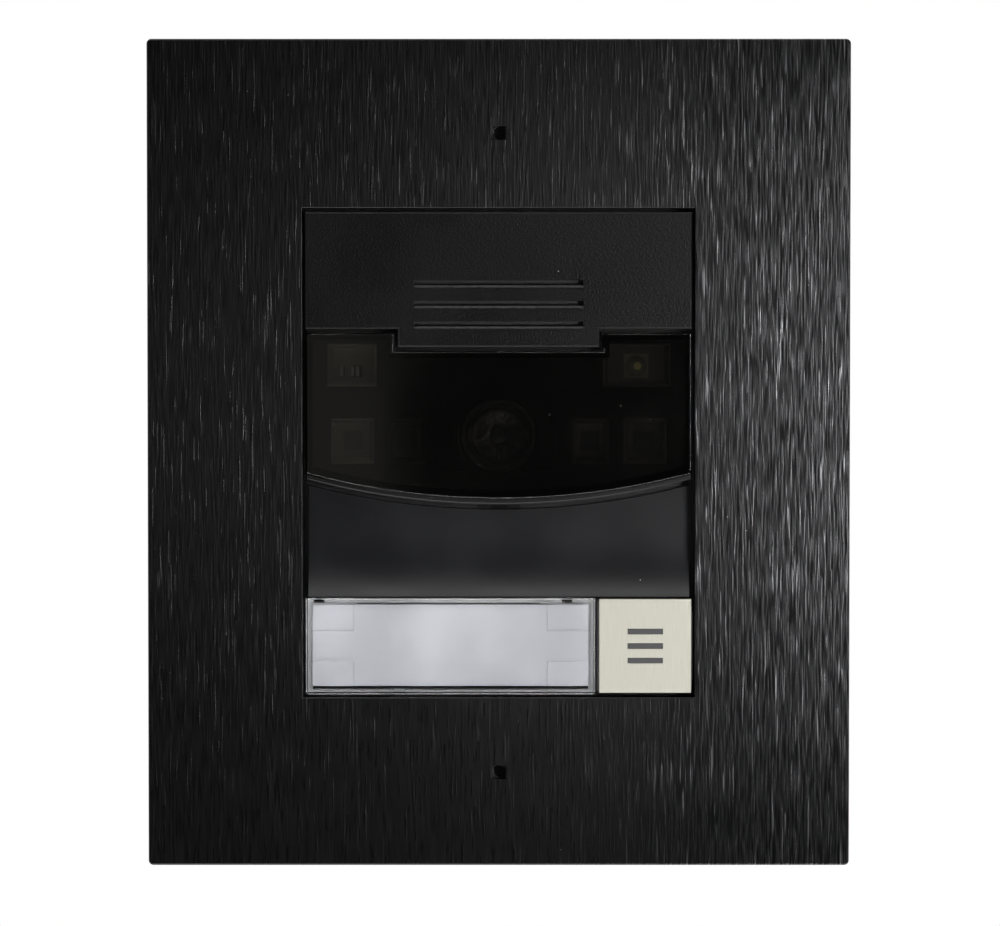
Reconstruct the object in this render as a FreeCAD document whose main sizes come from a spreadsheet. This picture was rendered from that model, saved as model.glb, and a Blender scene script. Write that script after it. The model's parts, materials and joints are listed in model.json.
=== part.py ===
"""Flush-mounted video doorbell: bezel, door unit and wall box, as separate pieces.

Row frame: X to the visitor's right, Z up, and the front faces -Y. The origin is the middle of the
bezel on the finished wall surface. A height named ..._at is measured forward from that surface, so
it is the same length as -Y: the bezel's face is at +5 mm and the wall box's floor is at -45 mm.
"""

import FreeCAD
import Part
import math
import os
import re

import Sketcher

# name, millimetres (or a plain count), meaning
SIZES = [
    # bezel
    ("bezel_wide", 130.0, "overall width of the cover frame"),
    ("bezel_high", 153.0, "overall height of the cover frame"),
    ("bezel_thick", 5.0, "how far the frame stands off the wall"),
    ("bezel_skin", 2.0, "thickness of the frame's face"),
    ("bezel_rim", 2.0, "wall round the frame's edge"),
    ("bezel_corner", 0.9, "rounding of the frame's four corners"),
    ("bezel_edge", 0.35, "broken edge round the face"),
    ("opening_wide", 72.6, "window in the bezel"),
    ("opening_high", 90.6, "window in the bezel"),
    ("opening_edge", 0.2, "broken edge round the window"),
    ("collar", 1.6, "wall round the window, behind the face"),
    ("collar_at", 0.3, "back of that wall, just clear of the wall surface"),
    ("keyhole", 2.6, "side of the square key holes"),
    ("keyhole_up", 59.2, "height of a key hole above the middle"),
    # hidden bridge behind each key hole
    ("bridge_thick", 1.2, "strip that the bridge is bent from"),
    ("bridge_high", 6.0, "width of the strip"),
    ("bridge_span", 24.0, "clear width between the bridge's legs"),
    ("bridge_foot", 5.0, "foot bonded to the back of the face"),
    # machine screws
    ("bezel_screw_radius", 1.5, "M3"),
    ("bezel_head_radius", 2.75, "low head"),
    ("bezel_head_high", 2.2, "low head"),
    ("bezel_screw_long", 14.0, "under the head"),
    ("hex_key", 2.0, "across the flats of the socket"),
    ("unit_screw_radius", 1.5, "M3"),
    ("unit_head_radius", 2.8, "pan head"),
    ("unit_head_high", 2.0, "pan head"),
    ("unit_screw_long", 10.0, "under the head"),
    ("case_screw_radius", 1.25, "M2.5"),
    ("case_head_radius", 2.3, "pan head"),
    ("case_head_high", 1.6, "pan head"),
    ("case_screw_long", 14.0, "under the head"),
    ("screw_clearance", 0.2, "round a shank in a clearance hole"),
    ("thread_clearance", 0.05, "round a shank in its thread"),
    # wall box
    ("box_wide", 106.0, "without its plaster keys"),
    ("box_high", 129.0, "without its plaster keys"),
    ("box_deep", 44.0, "rim to floor, outside"),
    ("box_front_at", -1.0, "the rim, just below the wall surface"),
    ("box_wall", 2.0, "side walls"),
    ("box_floor", 2.2, "floor"),
    ("box_corner", 6.0, "outside corner"),
    ("key_rib", 1.0, "how far a plaster key stands out"),
    ("key_thick", 1.6, "depth of a plaster key"),
    ("key_pitch", 12.0, "plaster key to plaster key"),
    ("key_count", 3, "plaster keys"),
    ("pillar_x", 44.5, "screw pillar from the middle"),
    ("pillar_z", 52.0, "screw pillar from the middle"),
    ("pillar_radius", 4.4, "screw pillar"),
    ("insert_radius", 2.2, "brass insert"),
    ("insert_long", 6.0, "brass insert"),
    ("insert_gap", 0.03, "insert in its hole"),
    ("boss_at", -8.0, "front of the bezel screw bosses"),
    ("fixing_pitch", 60.0, "wall fixing holes, both ways"),
    ("fixing_radius", 2.25, "wall fixing holes"),
    ("conduit_radius", 12.6, "entry for 25 mm conduit"),
    ("conduit_x", 27.0, "conduit entry from the middle"),
    ("conduit_at", -25.0, "axis of the conduit entries"),
    ("conduit_grip", 8.0, "length of the entry's wall"),
    ("conduit_wall", 1.6, "collar round the entry"),
    ("conduit_lip", 1.8, "stop that the conduit ends on"),
    ("knockout_radius", 12.0, "closed knockouts for the same conduit"),
    ("knockout_web", 0.5, "skin left in a closed knockout"),
    ("knockout_groove", 1.0, "width of its groove"),
    # chassis that carries the door unit
    ("flange_wide", 96.0, "chassis flange"),
    ("flange_high", 112.0, "chassis flange"),
    ("flange_corner", 5.0, "chassis flange"),
    ("flange_at", -3.5, "front of the flange"),
    ("flange_thick", 2.5, "chassis flange"),
    ("front_at", -1.0, "front of the raised block, which the covers stand on"),
    ("side_gap", 0.5, "covers to the bezel's window, at the sides"),
    ("end_gap", 0.7, "covers to the bezel's window, above and below"),
    ("boss_radius", 2.7, "case screw bosses"),
    ("boss_x", 31.0, "case screw from the middle"),
    ("boss_z", 45.4, "case screw from the middle"),
    # rear case
    ("case_wide", 76.0, "rear case"),
    ("case_high", 100.0, "rear case"),
    ("case_corner", 3.0, "rear case"),
    ("case_wall", 1.6, "rear case"),
    ("case_rear_at", -24.0, "back of the rear case"),
    ("case_seal_thick", 0.6, "seal between chassis and rear case"),
    ("case_seal_wide", 1.2, "seal between chassis and rear case"),
    ("port_bay_wide", 54.0, "bay in the rear case for the connectors"),
    ("port_bay_top", -13.0, "upper end of the connector bay"),
    ("port_bay_at", -16.4, "floor of the connector bay"),
    # main board
    ("board_thick", 1.6, "main board"),
    ("board_at", -14.0, "front of the main board"),
    ("board_gap", 0.6, "board edge to the rear case"),
    # seal behind the bezel
    ("bezel_seal_wide", 3.4, "foam frame"),
    ("bezel_seal_gap", 0.4, "foam frame to the door unit"),
    # upper cover
    ("cover_at", 5.0, "face of the covers and the button, flush with the bezel"),
    ("cover_skin", 2.0, "covers"),
    ("cover_wall", 1.6, "covers"),
    ("cover_edge", 0.4, "rounding of the covers' front edges"),
    ("cover_low", 22.95, "lower edge of the upper cover, at its sides"),
    ("tab_wide", 37.4, "tab that steps down in the middle"),
    ("tab_drop", 3.35, "how far the tab steps down"),
    ("slot_long", 31.3, "speaker slots"),
    ("slot_high", 1.8, "speaker slots"),
    ("slot_pitch", 3.8, "speaker slots"),
    ("slot_count", 3, "speaker slots"),
    ("slot_top", 31.1, "middle of the top slot"),
    ("slot_rise", 1.15, "how far a slot's sill climbs as it goes in"),
    ("sill_round", 1.3, "rounding of a slot's sill, from the cover's face inwards"),
    ("mesh_thick", 0.2, "speaker mesh"),
    ("mesh_margin", 1.0, "speaker mesh beyond the slots"),
    # smoked window
    ("joint_gap", 0.65, "upper cover to window"),
    ("window_at", 4.4, "face of the smoked window"),
    ("window_thick", 2.2, "smoked window"),
    ("window_edge", 0.3, "bevel of the window's front edge"),
    ("window_low", -3.9, "end of the window's curved lower edge"),
    ("window_sag", 4.7, "drop of that curve in the middle"),
    ("tape_thick", 0.2, "adhesive frame behind the window"),
    ("tape_wide", 1.0, "adhesive frame behind the window"),
    # light baffle
    ("lip_high", 1.0, "lip that shows below the window"),
    ("lip_at", 3.4, "front of that lip"),
    ("lip_edge", 0.25, "bevel of the lip's front edge"),
    ("bay_gap", 0.3, "baffle in the chassis bay"),
    ("bay_margin", 2.6, "side of the window to the bay in the chassis"),
    ("bay_inset", 0.5, "top of the window to the bay in the chassis"),
    ("bay_low", -5.2, "lower edge of the bay"),
    ("baffle_rear_at", -3.0, "back of the baffle"),
    ("cell_high", 8.4, "infrared cells"),
    ("cell_z", 2.2, "middle of the infrared cells"),
    ("outer_cell_x", 27.1, "middle of an outer cell"),
    ("outer_cell_wide", 7.9, "outer cell"),
    ("inner_cell_x", 17.0, "middle of an inner cell"),
    ("inner_cell_wide", 6.8, "inner cell"),
    ("top_cell_z", 16.3, "middle of the two upper cells"),
    ("top_cell_high", 7.9, "upper cells"),
    ("sensor_cell_x", -27.2, "middle of the light sensor's cell"),
    ("sensor_cell_wide", 9.1, "light sensor's cell"),
    ("lamp_cell_x", 25.6, "middle of the lamp's cell"),
    ("lamp_cell_wide", 12.4, "lamp's cell"),
    ("eye_wide", 20.1, "rectangular opening before the lens"),
    ("eye_high", 13.2, "rectangular opening before the lens"),
    ("eye_deep", 1.6, "rectangular opening before the lens"),
    ("eye_z", 3.2, "height of the optical axis"),
    # camera
    ("barrel_radius", 7.2, "lens barrel"),
    ("barrel_gap", 0.3, "round the lens barrel"),
    ("barrel_at", 0.4, "front of the lens barrel"),
    ("barrel_long", 10.0, "lens barrel"),
    ("barrel_step", 3.8, "length of its wide front part"),
    ("thread_radius", 6.0, "threaded rear part of the barrel"),
    ("ring_radius", 4.9, "ridge round the cone in the barrel's face"),
    ("glass_radius", 1.55, "front glass"),
    ("holder_side", 15.0, "square lens holder"),
    ("holder_long", 6.1, "square lens holder"),
    ("holder_rear_at", -12.6, "back of the lens holder"),
    ("camera_board_side", 18.0, "camera board"),
    ("camera_board_thick", 0.8, "camera board"),
    ("sensor_wide", 6.6, "image sensor"),
    ("sensor_high", 5.6, "image sensor"),
    ("sensor_thick", 1.0, "image sensor"),
    # light board
    ("light_board_thick", 1.2, "light board"),
    ("light_board_gap", 0.4, "light board in the chassis bay"),
    ("led_side", 3.4, "infrared lamp"),
    ("led_thick", 0.7, "infrared lamp"),
    ("led_dome", 1.25, "infrared lamp's lens"),
    ("lamp_dome", 1.9, "white lamp's lens"),
    ("lamp_z", 16.1, "height of the white lamp"),
    ("chip_wide", 1.9, "light sensor"),
    ("chip_high", 2.2, "light sensor"),
    ("chip_thick", 0.8, "light sensor"),
    # speaker
    ("speaker_z", 31.6, "height of the speaker"),
    ("speaker_radius", 11.0, "speaker's rim"),
    ("speaker_gap", 0.2, "speaker in the chassis"),
    ("speaker_shelf", 1.4, "shelf that the speaker's rim sits on"),
    ("speaker_rim", 1.1, "thickness of the speaker's rim"),
    ("speaker_seal", 0.7, "seal under the rim"),
    ("basket_deep", 6.0, "front of the rim to the back of the basket"),
    ("basket_radius", 7.6, "back of the basket"),
    ("basket_skin", 0.8, "basket"),
    ("cone_radius", 7.0, "cone"),
    ("cone_rim", 0.7, "flat rim of the cone"),
    ("cone_skin", 0.3, "cone"),
    ("cone_deep", 3.3, "cone"),
    ("coil_radius", 3.4, "voice coil"),
    ("coil_wall", 0.3, "voice coil"),
    ("coil_long", 4.2, "voice coil"),
    ("coil_gap", 0.35, "round the voice coil"),
    ("magnet_radius", 6.4, "magnet"),
    ("magnet_long", 4.5, "magnet"),
    ("surround_radius", 9.6, "outer edge of the rubber surround"),
    ("surround_skin", 0.25, "rubber surround"),
    ("lead_radius", 0.4, "speaker leads"),
    ("lead_pitch", 2.4, "speaker leads"),
    ("lead_drop", 4.5, "speaker leads"),
    # lower cover
    ("scoop_inset", 0.4, "lower cover is this much narrower on each side"),
    ("scoop_gap", 1.0, "gap under the lip"),
    ("scoop_at", 1.2, "face of the cover at its top"),
    ("scoop_out_at", 4.4, "face of the cover at its foot"),
    ("scoop_turn", -15.0, "where the face starts to curve out"),
    ("scoop_low", -26.7, "foot of the lower cover"),
    ("scoop_skin", 1.6, "lower cover"),
    ("scoop_cheek", 1.2, "ends and foot of the lower cover"),
    # microphone
    ("mic_radius", 3.0, "microphone capsule"),
    ("mic_long", 2.7, "microphone capsule"),
    ("boot_radius", 4.0, "rubber boot"),
    ("boot_long", 4.2, "rubber boot"),
    ("boot_lip", 0.6, "rubber boot's front lip"),
    ("boot_gap", 0.05, "boot in the chassis"),
    ("mic_z", -10.4, "height of the microphone"),
    # name plate
    ("row_top", -26.95, "upper edge of the name plate"),
    ("plate_wide", 53.7, "clear name plate cover"),
    ("plate_high", 17.9, "clear name plate cover"),
    ("plate_at", 4.4, "face of the clear cover"),
    ("plate_skin", 1.4, "clear cover"),
    ("plate_wall", 0.9, "clear cover"),
    ("plate_edge", 0.35, "rounding of its front edge"),
    ("plate_foot_at", 1.4, "back edge of its side walls"),
    ("plate_pad_wide", 8.0, "pads in its corners that hold the label down"),
    ("plate_pad_high", 5.2, "pads in its corners"),
    ("pry_wide", 2.1, "notch for lifting the cover off"),
    ("pry_x", -18.5, "notch for lifting the cover off"),
    ("pad_gap", 0.1, "pads above the label"),
    ("clip_left_x", -33.4, "clip at the top of the clear cover"),
    ("clip_right_x", 12.7, "clip at the top of the clear cover"),
    ("clip_wide", 1.6, "clips"),
    ("clip_thick", 0.5, "clips"),
    ("clip_tip_at", -0.6, "back end of the clips"),
    ("clip_gap", 0.2, "clips in their windows"),
    ("base_inset", 0.3, "light guide's base inside the clear cover's outline"),
    ("base_at", 1.3, "front of that base, which the clear cover stands on"),
    ("guide_gap", 0.35, "light guide's table in the clear cover"),
    ("guide_short", 0.3, "light guide's extra gap at its foot"),
    ("slit_long", 34.2, "slit above the table"),
    ("slit_x", -9.3, "slit above the table"),
    ("foot_slit_high", 0.5, "slit below the table"),
    ("guide_at", 2.2, "front of the light guide"),
    ("label_thick", 0.2, "name label"),
    ("label_gap", 0.0, "label on the light guide"),
    ("glow_margin", 2.2, "light guide beyond the opening behind it"),
    # call button
    ("button_wide", 17.1, "metal key face"),
    ("button_high", 17.4, "metal key face"),
    ("button_thick", 1.2, "metal key face"),
    ("button_edge", 0.25, "broken edge of the key face"),
    ("button_gap", 0.7, "name plate to key face"),
    ("button_drop", 0.1, "key face below the name plate's upper edge"),
    ("bar_long", 6.5, "bars of the key's symbol"),
    ("bar_high", 1.0, "bars of the key's symbol"),
    ("bar_pitch", 2.7, "bars of the key's symbol"),
    ("bar_count", 3, "bars of the key's symbol"),
    ("bar_gap", 0.03, "bar in its slot"),
    ("bar_sunk", 0.08, "bar below the key's face"),
    ("carrier_at", 0.4, "back of the key carrier"),
    ("carrier_left", 0.4, "carrier beyond the key face, at the left"),
    ("carrier_inset", 0.2, "carrier inside the key face, elsewhere"),
    ("rib_long", 12.8, "rib on the carrier's right side"),
    ("rib_proud", 0.5, "how far the rib stands out"),
    ("rib_low", 0.3, "rib behind the front of the carrier"),
    ("travel", 1.0, "how far the key moves"),
    ("stem_radius", 2.2, "carrier's stem"),
    ("well_wide", 13.5, "opening in the chassis for the key"),
    ("well_high", 13.6, "opening in the chassis for the key"),
    ("well_step", 1.5, "that opening is this much wider behind its ledge"),
    ("hook_wide", 3.0, "carrier's hooks"),
    ("hook_thick", 1.0, "carrier's hooks"),
    ("hook_gap", 0.15, "hooks to the chassis"),
    ("barb", 0.75, "hook under the ledge"),
    ("barb_high", 0.8, "hook under the ledge"),
    # key board and switch
    ("key_board_at", -6.2, "front of the key board"),
    ("key_board_thick", 1.2, "key board"),
    ("key_board_wide", 69.0, "key board"),
    ("key_board_high", 13.0, "key board"),
    ("switch_side", 6.0, "push switch"),
    ("switch_high", 3.4, "push switch"),
    ("plunger_radius", 1.7, "push switch"),
    ("plunger_long", 3.0, "push switch"),
    ("plunger_gap", 0.08, "round the plunger"),
    ("glow_count", 5, "lamps behind the name plate"),
    ("glow_pitch", 9.6, "lamps behind the name plate"),
    ("glow_wide", 2.8, "lamps behind the name plate"),
    ("glow_high", 1.4, "lamps behind the name plate"),
    ("glow_thick", 0.8, "lamps behind the name plate"),
    ("link_wide", 12.0, "pin header from key board to main board"),
    ("link_high", 4.0, "pin header from key board to main board"),
    ("link_x", -18.0, "pin header from key board to main board"),
    ("link_z", -36.0, "pin header from key board to main board"),
    # main board's parts
    ("chip_side", 14.0, "processor"),
    ("chip_high_up", 1.4, "processor"),
    ("chip_x", 18.0, "processor"),
    ("chip_z", -8.0, "processor"),
    ("sink_side", 16.0, "heat spreader"),
    ("sink_thick", 1.5, "heat spreader"),
    ("relay_wide", 10.0, "lock relay"),
    ("relay_high", 15.0, "lock relay"),
    ("relay_thick", 5.0, "lock relay"),
    ("relay_x", -26.0, "lock relay"),
    ("relay_z", -8.0, "lock relay"),
    ("can_radius", 3.1, "capacitors"),
    ("can_long", 5.4, "capacitors"),
    ("can_count", 3, "capacitors"),
    ("can_pitch", 7.6, "capacitors"),
    ("can_x", 17.0, "first capacitor"),
    ("can_z", 30.0, "capacitors"),
    ("jack_wide", 16.0, "network jack"),
    ("jack_deep", 13.4, "network jack"),
    ("jack_long", 21.3, "network jack"),
    ("jack_x", -16.5, "network jack"),
    ("jack_mouth", -37.0, "mouth of the network jack"),
    ("jack_hole_wide", 11.8, "network jack's socket"),
    ("jack_hole_deep", 8.4, "network jack's socket"),
    ("jack_hole_long", 15.5, "network jack's socket"),
    ("jack_skin", 1.3, "network jack, socket to its outer face"),
    ("contact_pitch", 1.02, "network jack's contacts"),
    ("contact_count", 8, "network jack's contacts"),
    ("contact_wide", 0.45, "network jack's contacts"),
    ("contact_high", 1.0, "network jack's contacts"),
    ("pole_pitch", 3.81, "terminal block"),
    ("pole_count", 6, "terminal block"),
    ("header_deep", 9.0, "terminal header"),
    ("header_long", 9.2, "terminal header"),
    ("header_x", 12.4, "terminal header"),
    ("header_mouth", -26.0, "mouth of the terminal header"),
    ("header_wall", 1.0, "terminal header"),
    ("plug_gap", 0.2, "terminal plug in its header"),
    ("plug_in", 6.0, "how far the plug goes in"),
    ("plug_long", 12.0, "terminal plug"),
    ("plug_deep", 11.0, "terminal plug's grip"),
    ("wire_hole", 1.25, "terminal plug's wire entries"),
    ("clamp_radius", 1.5, "terminal plug's clamp screws"),
    ("clamp_long", 3.0, "terminal plug's clamp screws"),
    ("reset_side", 4.5, "reset switch"),
    ("reset_high", 2.6, "reset switch"),
    ("reset_x", -4.4, "reset switch"),
    ("reset_z", -19.0, "reset switch"),
    ("reset_radius", 1.1, "reset plunger"),
    ("reset_long", 2.2, "reset plunger"),
    ("reset_out", 1.0, "how far the reset plunger stands out"),
    ("past", 1.0, "how far a cut starts or ends outside the material"),
    ("root", 0.2, "how deep a rib, hook or stem is sunk in its parent"),
    ("crown_share", 0.25, "part of a screw head's height that is rounded"),
    ("point_share", 0.6, "a screw's tip, as a part of its radius"),
    ("point_long_share", 0.4, "a screw's point, as a part of its radius"),
    ("socket_share", 0.65, "depth of a socket in its screw head"),
    ("waist_deep", 0.3, "brass inserts"),
    ("band_share", 0.38, "brass inserts, each band's part of the length"),
    ("barrel_bevel", 0.3, "lens barrel's front edge"),
    ("dish_outer", 1.3, "dish round the lens ring"),
    ("dish_inner", 0.6, "dish round the lens ring"),
    ("dish_deep", 0.8, "dish round the lens ring"),
    ("ring_outer", 0.25, "lens ring, outward of its radius"),
    ("ring_slope", 0.1, "lens ring, outward of its radius, at its crest"),
    ("ring_inner", 0.2, "lens ring, inward of its radius"),
    ("ring_low", 0.4, "lens ring's crest below the barrel's front"),
    ("funnel_deep", 2.0, "lens barrel's inner cone"),
    ("cone_step", 0.5, "ledge between the cone and the front glass"),
    ("glass_fit", 0.02, "front glass in the barrel"),
    ("glass_thick", 0.9, "front glass's seat"),
    ("glass_crown", 0.4, "front glass's dome above the cone's foot"),
    ("glass_low", 0.1, "front glass's edge below the cone's foot"),
    ("throat_share", 0.8, "opening behind the front glass, as a part of its radius"),
    ("socket_wide_share", 0.6, "camera board's socket, as a part of the board"),
    ("socket_high", 3.0, "camera board's socket"),
    ("lamp_body_more", 1.2, "white lamp's body over an infrared lamp's"),
    ("chip_right", 0.9, "light sensor from its cell's middle"),
    ("passive_left", 1.9, "resistor beside the sensor, from its cell's middle"),
    ("chip_low", 1.2, "light sensor below its cell's middle"),
    ("passive_wide", 0.8, "resistor beside the sensor"),
    ("passive_high", 1.6, "resistor beside the sensor"),
    ("stem_rest", 0.4, "how far the stem reaches past the switch's travel"),
    ("bar_root", 0.5, "how deep the bars start in the carrier"),
    ("mouth_share", 0.5, "microphone boot's mouth, as a part of its radius"),
]

DOC = FreeCAD.newDocument("video_doorbell")
SHEET = DOC.addObject("Spreadsheet::Sheet", "Sizes")
NAMES = {name for name, _, _ in SIZES}
PARTS = []


def fill_sheet():
    """Writes every size to the sheet, each cell with its name as alias."""
    for row, (name, number, meaning) in enumerate(SIZES, start=1):
        SHEET.set(f"A{row}", name)
        SHEET.set(f"B{row}", str(number))
        SHEET.set(f"C{row}", meaning)
        SHEET.setAlias(f"B{row}", name)
    DOC.recompute()


def bound(text):
    """An expression in size names, as FreeCAD wants it: each name with its sheet's name before it."""
    return re.sub(r"[a-z][a-z_]*", lambda m: f"Sizes.{m[0]}" if m[0] in NAMES else m[0], text)


def amount(text):
    """The present value of such an expression."""
    return float(SHEET.evalExpression(bound(text)))


# ---- building blocks ----------------------------------------------------------------------------


def new_body(label):
    """An empty body that will be exported under its label."""
    body = DOC.addObject("PartDesign::Body", label)
    body.Label = label
    body.AllowCompound = True
    PARTS.append(body)
    return body


def datum(body, role):
    """One of the body's own origin planes or axes."""
    return next(item for item in body.Origin.OriginFeatures if item.Role == role)


def new_sketch(body, name, at="0", role="XZ_Plane", x="0", y="0"):
    """A sketch on a plane of the body's origin, moved out to `at` along the plane's normal.

    On XZ_Plane the sketch looks at the front: its own axes are X and Z, and `at` is forward.
    On XY_Plane they are X and Y with `at` upward, and on YZ_Plane Y and Z with `at` to the right.
    """
    sketch = body.newObject("Sketcher::SketchObject", f"{body.Name}_{name}")
    sketch.AttachmentSupport = [(datum(body, role), "")]
    sketch.MapMode = "FlatFace"
    for axis, text in (("x", x), ("y", y), ("z", at)):
        sketch.setExpression(f".AttachmentOffset.Base.{axis}", bound(text))
    return sketch


def pin_point(sketch, edge, end, x, y):
    """Holds one end of an edge at the place that two expressions give."""
    for kind, letter, text in (("DistanceX", "x", x), ("DistanceY", "y", y)):
        index = sketch.addConstraint(Sketcher.Constraint(kind, -1, 1, edge, end, amount(text)))
        name = f"{letter}{edge}_{end}"
        sketch.renameConstraint(index, name)
        sketch.setExpression(f"Constraints.{name}", bound(text))


def outline(sketch, corners):
    """Draws a closed outline through corners (x, y), each a pair of expressions.

    A third entry makes the edge from that corner to the next an arc of that radius. The arc turns
    anticlockwise if the radius is given as it is, and clockwise if the text starts with a minus.
    """
    first = sketch.GeometryCount
    places = [FreeCAD.Vector(amount(c[0]), amount(c[1]), 0) for c in corners]
    ends = []
    for index, corner in enumerate(corners):
        start, stop = places[index], places[(index + 1) % len(places)]
        edge = first + index
        if len(corner) == 2:
            sketch.addGeometry(Part.LineSegment(start, stop), False)
            ends.append((1, 2))
            continue
        clockwise = corner[2].startswith("-")
        radius = corner[2].lstrip("-")
        if clockwise:
            start, stop = stop, start
        chord = stop - start
        rise = math.sqrt(max(amount(radius) ** 2 - (chord.Length / 2) ** 2, 0))
        across = FreeCAD.Vector(-chord.y, chord.x, 0).normalize()
        centre = start + chord * 0.5 + across * rise
        angles = [math.atan2(p.y - centre.y, p.x - centre.x) for p in (start, stop)]
        circle = Part.Circle(centre, FreeCAD.Vector(0, 0, 1), amount(radius))
        sketch.addGeometry(Part.ArcOfCircle(circle, angles[0], angles[1]), False)
        at = sketch.addConstraint(Sketcher.Constraint("Radius", edge, amount(radius)))
        sketch.renameConstraint(at, f"radius{edge}")
        sketch.setExpression(f"Constraints.radius{edge}", bound(radius))
        ends.append((2, 1) if clockwise else (1, 2))
    for index, corner in enumerate(corners):
        edge, after = first + index, first + (index + 1) % len(corners)
        next_start = ends[(index + 1) % len(corners)][0]
        sketch.addConstraint(Sketcher.Constraint("Coincident", edge, ends[index][1], after, next_start))
        pin_point(sketch, edge, ends[index][0], corner[0], corner[1])
    return sketch


def rectangle(sketch, wide, high, x="0", y="0"):
    """Draws a rectangle about the point (x, y)."""
    left, right = f"({x}) - ({wide}) / 2", f"({x}) + ({wide}) / 2"
    low, top = f"({y}) - ({high}) / 2", f"({y}) + ({high}) / 2"
    return outline(sketch, [(left, low), (right, low), (right, top), (left, top)])


def round_rectangle(sketch, wide, high, corner):
    """Draws a rectangle about the origin with rounded corners."""
    side, top = f"({wide}) / 2", f"({high}) / 2"
    near_side, near_top = f"{side} - ({corner})", f"{top} - ({corner})"
    return outline(
        sketch,
        [
            (f"-({near_side})", f"-{top}"),
            (near_side, f"-{top}", corner),
            (side, f"-({near_top})"),
            (side, near_top, corner),
            (near_side, top),
            (f"-({near_side})", top, corner),
            (f"-{side}", near_top),
            (f"-{side}", f"-({near_top})", corner),
        ],
    )


def circle(sketch, radius, x="0", y="0"):
    """Draws a circle about the point (x, y)."""
    edge = sketch.GeometryCount
    middle = FreeCAD.Vector(amount(x), amount(y), 0)
    sketch.addGeometry(Part.Circle(middle, FreeCAD.Vector(0, 0, 1), amount(radius)), False)
    index = sketch.addConstraint(Sketcher.Constraint("Radius", edge, amount(radius)))
    sketch.renameConstraint(index, f"radius{edge}")
    sketch.setExpression(f"Constraints.radius{edge}", bound(radius))
    pin_point(sketch, edge, 3, x, y)
    return sketch


def circles(sketch, radius, x, y):
    """Draws that circle in each quadrant, or twice where x or y is nothing."""
    for across in ("", "-") if x != "0" else ("",):
        for up in ("", "-") if y != "0" else ("",):
            circle(sketch, radius, f"{across}({x})", f"{up}({y})")
    return sketch


def pad(sketch, length, both_ways=False):
    """Adds material from the sketch along its plane's normal, or half each way."""
    body = sketch.getParent()
    feature = body.newObject("PartDesign::Pad", f"{sketch.Name}_pad")
    feature.Profile = sketch
    feature.Midplane = both_ways
    feature.setExpression("Length", bound(length))
    return feature


def cut(sketch, depth, forward=False, both_ways=False):
    """Removes material against the plane's normal, or along it, or half each way."""
    body = sketch.getParent()
    DOC.recompute()
    before = body.Shape.Volume
    feature = body.newObject("PartDesign::Pocket", f"{sketch.Name}_cut")
    feature.Profile = sketch
    feature.Reversed = forward
    feature.Midplane = both_ways
    feature.setExpression("Length", bound(depth))
    DOC.recompute()
    if body.Shape.Volume > before - 1e-6:
        raise ValueError(f"{feature.Name} cuts nothing")
    return feature


def turn(sketch):
    """Spins the sketch about its own vertical axis."""
    body = sketch.getParent()
    feature = body.newObject("PartDesign::Revolution", f"{sketch.Name}_turn")
    feature.Profile = sketch
    feature.ReferenceAxis = (sketch, ["V_Axis"])
    return feature


def mirror(body, role):
    """Adds the mirror image of all that the body holds so far."""
    DOC.recompute()
    feature = body.newObject("PartDesign::Mirrored", f"{body.Name}_mirror_{role[:2]}")
    feature.TransformMode = "Whole shape"
    feature.MirrorPlane = (datum(body, role), [""])
    body.Tip = feature
    DOC.recompute()
    return feature


def mirror_four(body):
    """Repeats the body's pieces to the left and below."""
    mirror(body, "YZ_Plane")
    return mirror(body, "XY_Plane")


def repeat(feature, role, pitch, count, backwards=False):
    """Repeats a feature in a row along one of the body's axes."""
    body = feature.getParent()
    row = body.newObject("PartDesign::LinearPattern", f"{feature.Name}_row")
    row.Originals = [feature]
    row.Direction = (datum(body, role), [""])
    row.Reversed = backwards
    row.setExpression("Length", bound(f"({pitch}) * ({count} - 1)"))
    row.setExpression("Occurrences", bound(count))
    body.Tip = row
    DOC.recompute()
    return row


def edges(body, wanted):
    """Names of the body's edges for which wanted(edge) is true."""
    DOC.recompute()
    return [f"Edge{n}" for n, edge in enumerate(body.Shape.Edges, start=1) if wanted(edge)]


def ease(body, kind, size, wanted):
    """Rounds (Fillet) or bevels (Chamfer) the edges that are wanted."""
    chosen = edges(body, wanted)
    if not chosen:
        raise ValueError(f"{body.Label} has no edge to ease")
    base = body.Tip
    feature = body.newObject(f"PartDesign::{kind}", f"{body.Name}_{kind}_{len(body.Group)}")
    feature.Base = (base, chosen)
    feature.setExpression("Radius" if kind == "Fillet" else "Size", bound(size))
    DOC.recompute()
    return feature


def on_front(at):
    """A test for edges that lie in the plane `at` in front of the wall."""
    y = -amount(at)
    return lambda edge: all(abs(vertex.Y - y) < 1e-4 for vertex in edge.Vertexes) and (
        abs(edge.BoundBox.YMax - y) < 1e-3 and abs(edge.BoundBox.YMin - y) < 1e-3
    )


def outer_front(at, wide, high):
    """A test for edges of that plane that lie on a rectangle's outline about the middle."""
    flat = on_front(at)
    half_wide, half_high = amount(wide) / 2, amount(high) / 2
    reach = 1.5

    def test(edge):
        box = edge.BoundBox
        side = min(abs(box.XMin), abs(box.XMax)) > half_wide - reach
        end = min(abs(box.ZMin), abs(box.ZMax)) > half_high - reach
        return flat(edge) and (side or end)

    return test


def lathe(label, x, z, profile, name="profile"):
    """A body turned about an axis along Y through (x, z). Its profile is (radius, forward) pairs."""
    body = new_body(label)
    sketch = new_sketch(body, name, at=z, role="XY_Plane", x=x)
    outline(sketch, flip(profile))
    turn(sketch)
    return body


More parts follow.
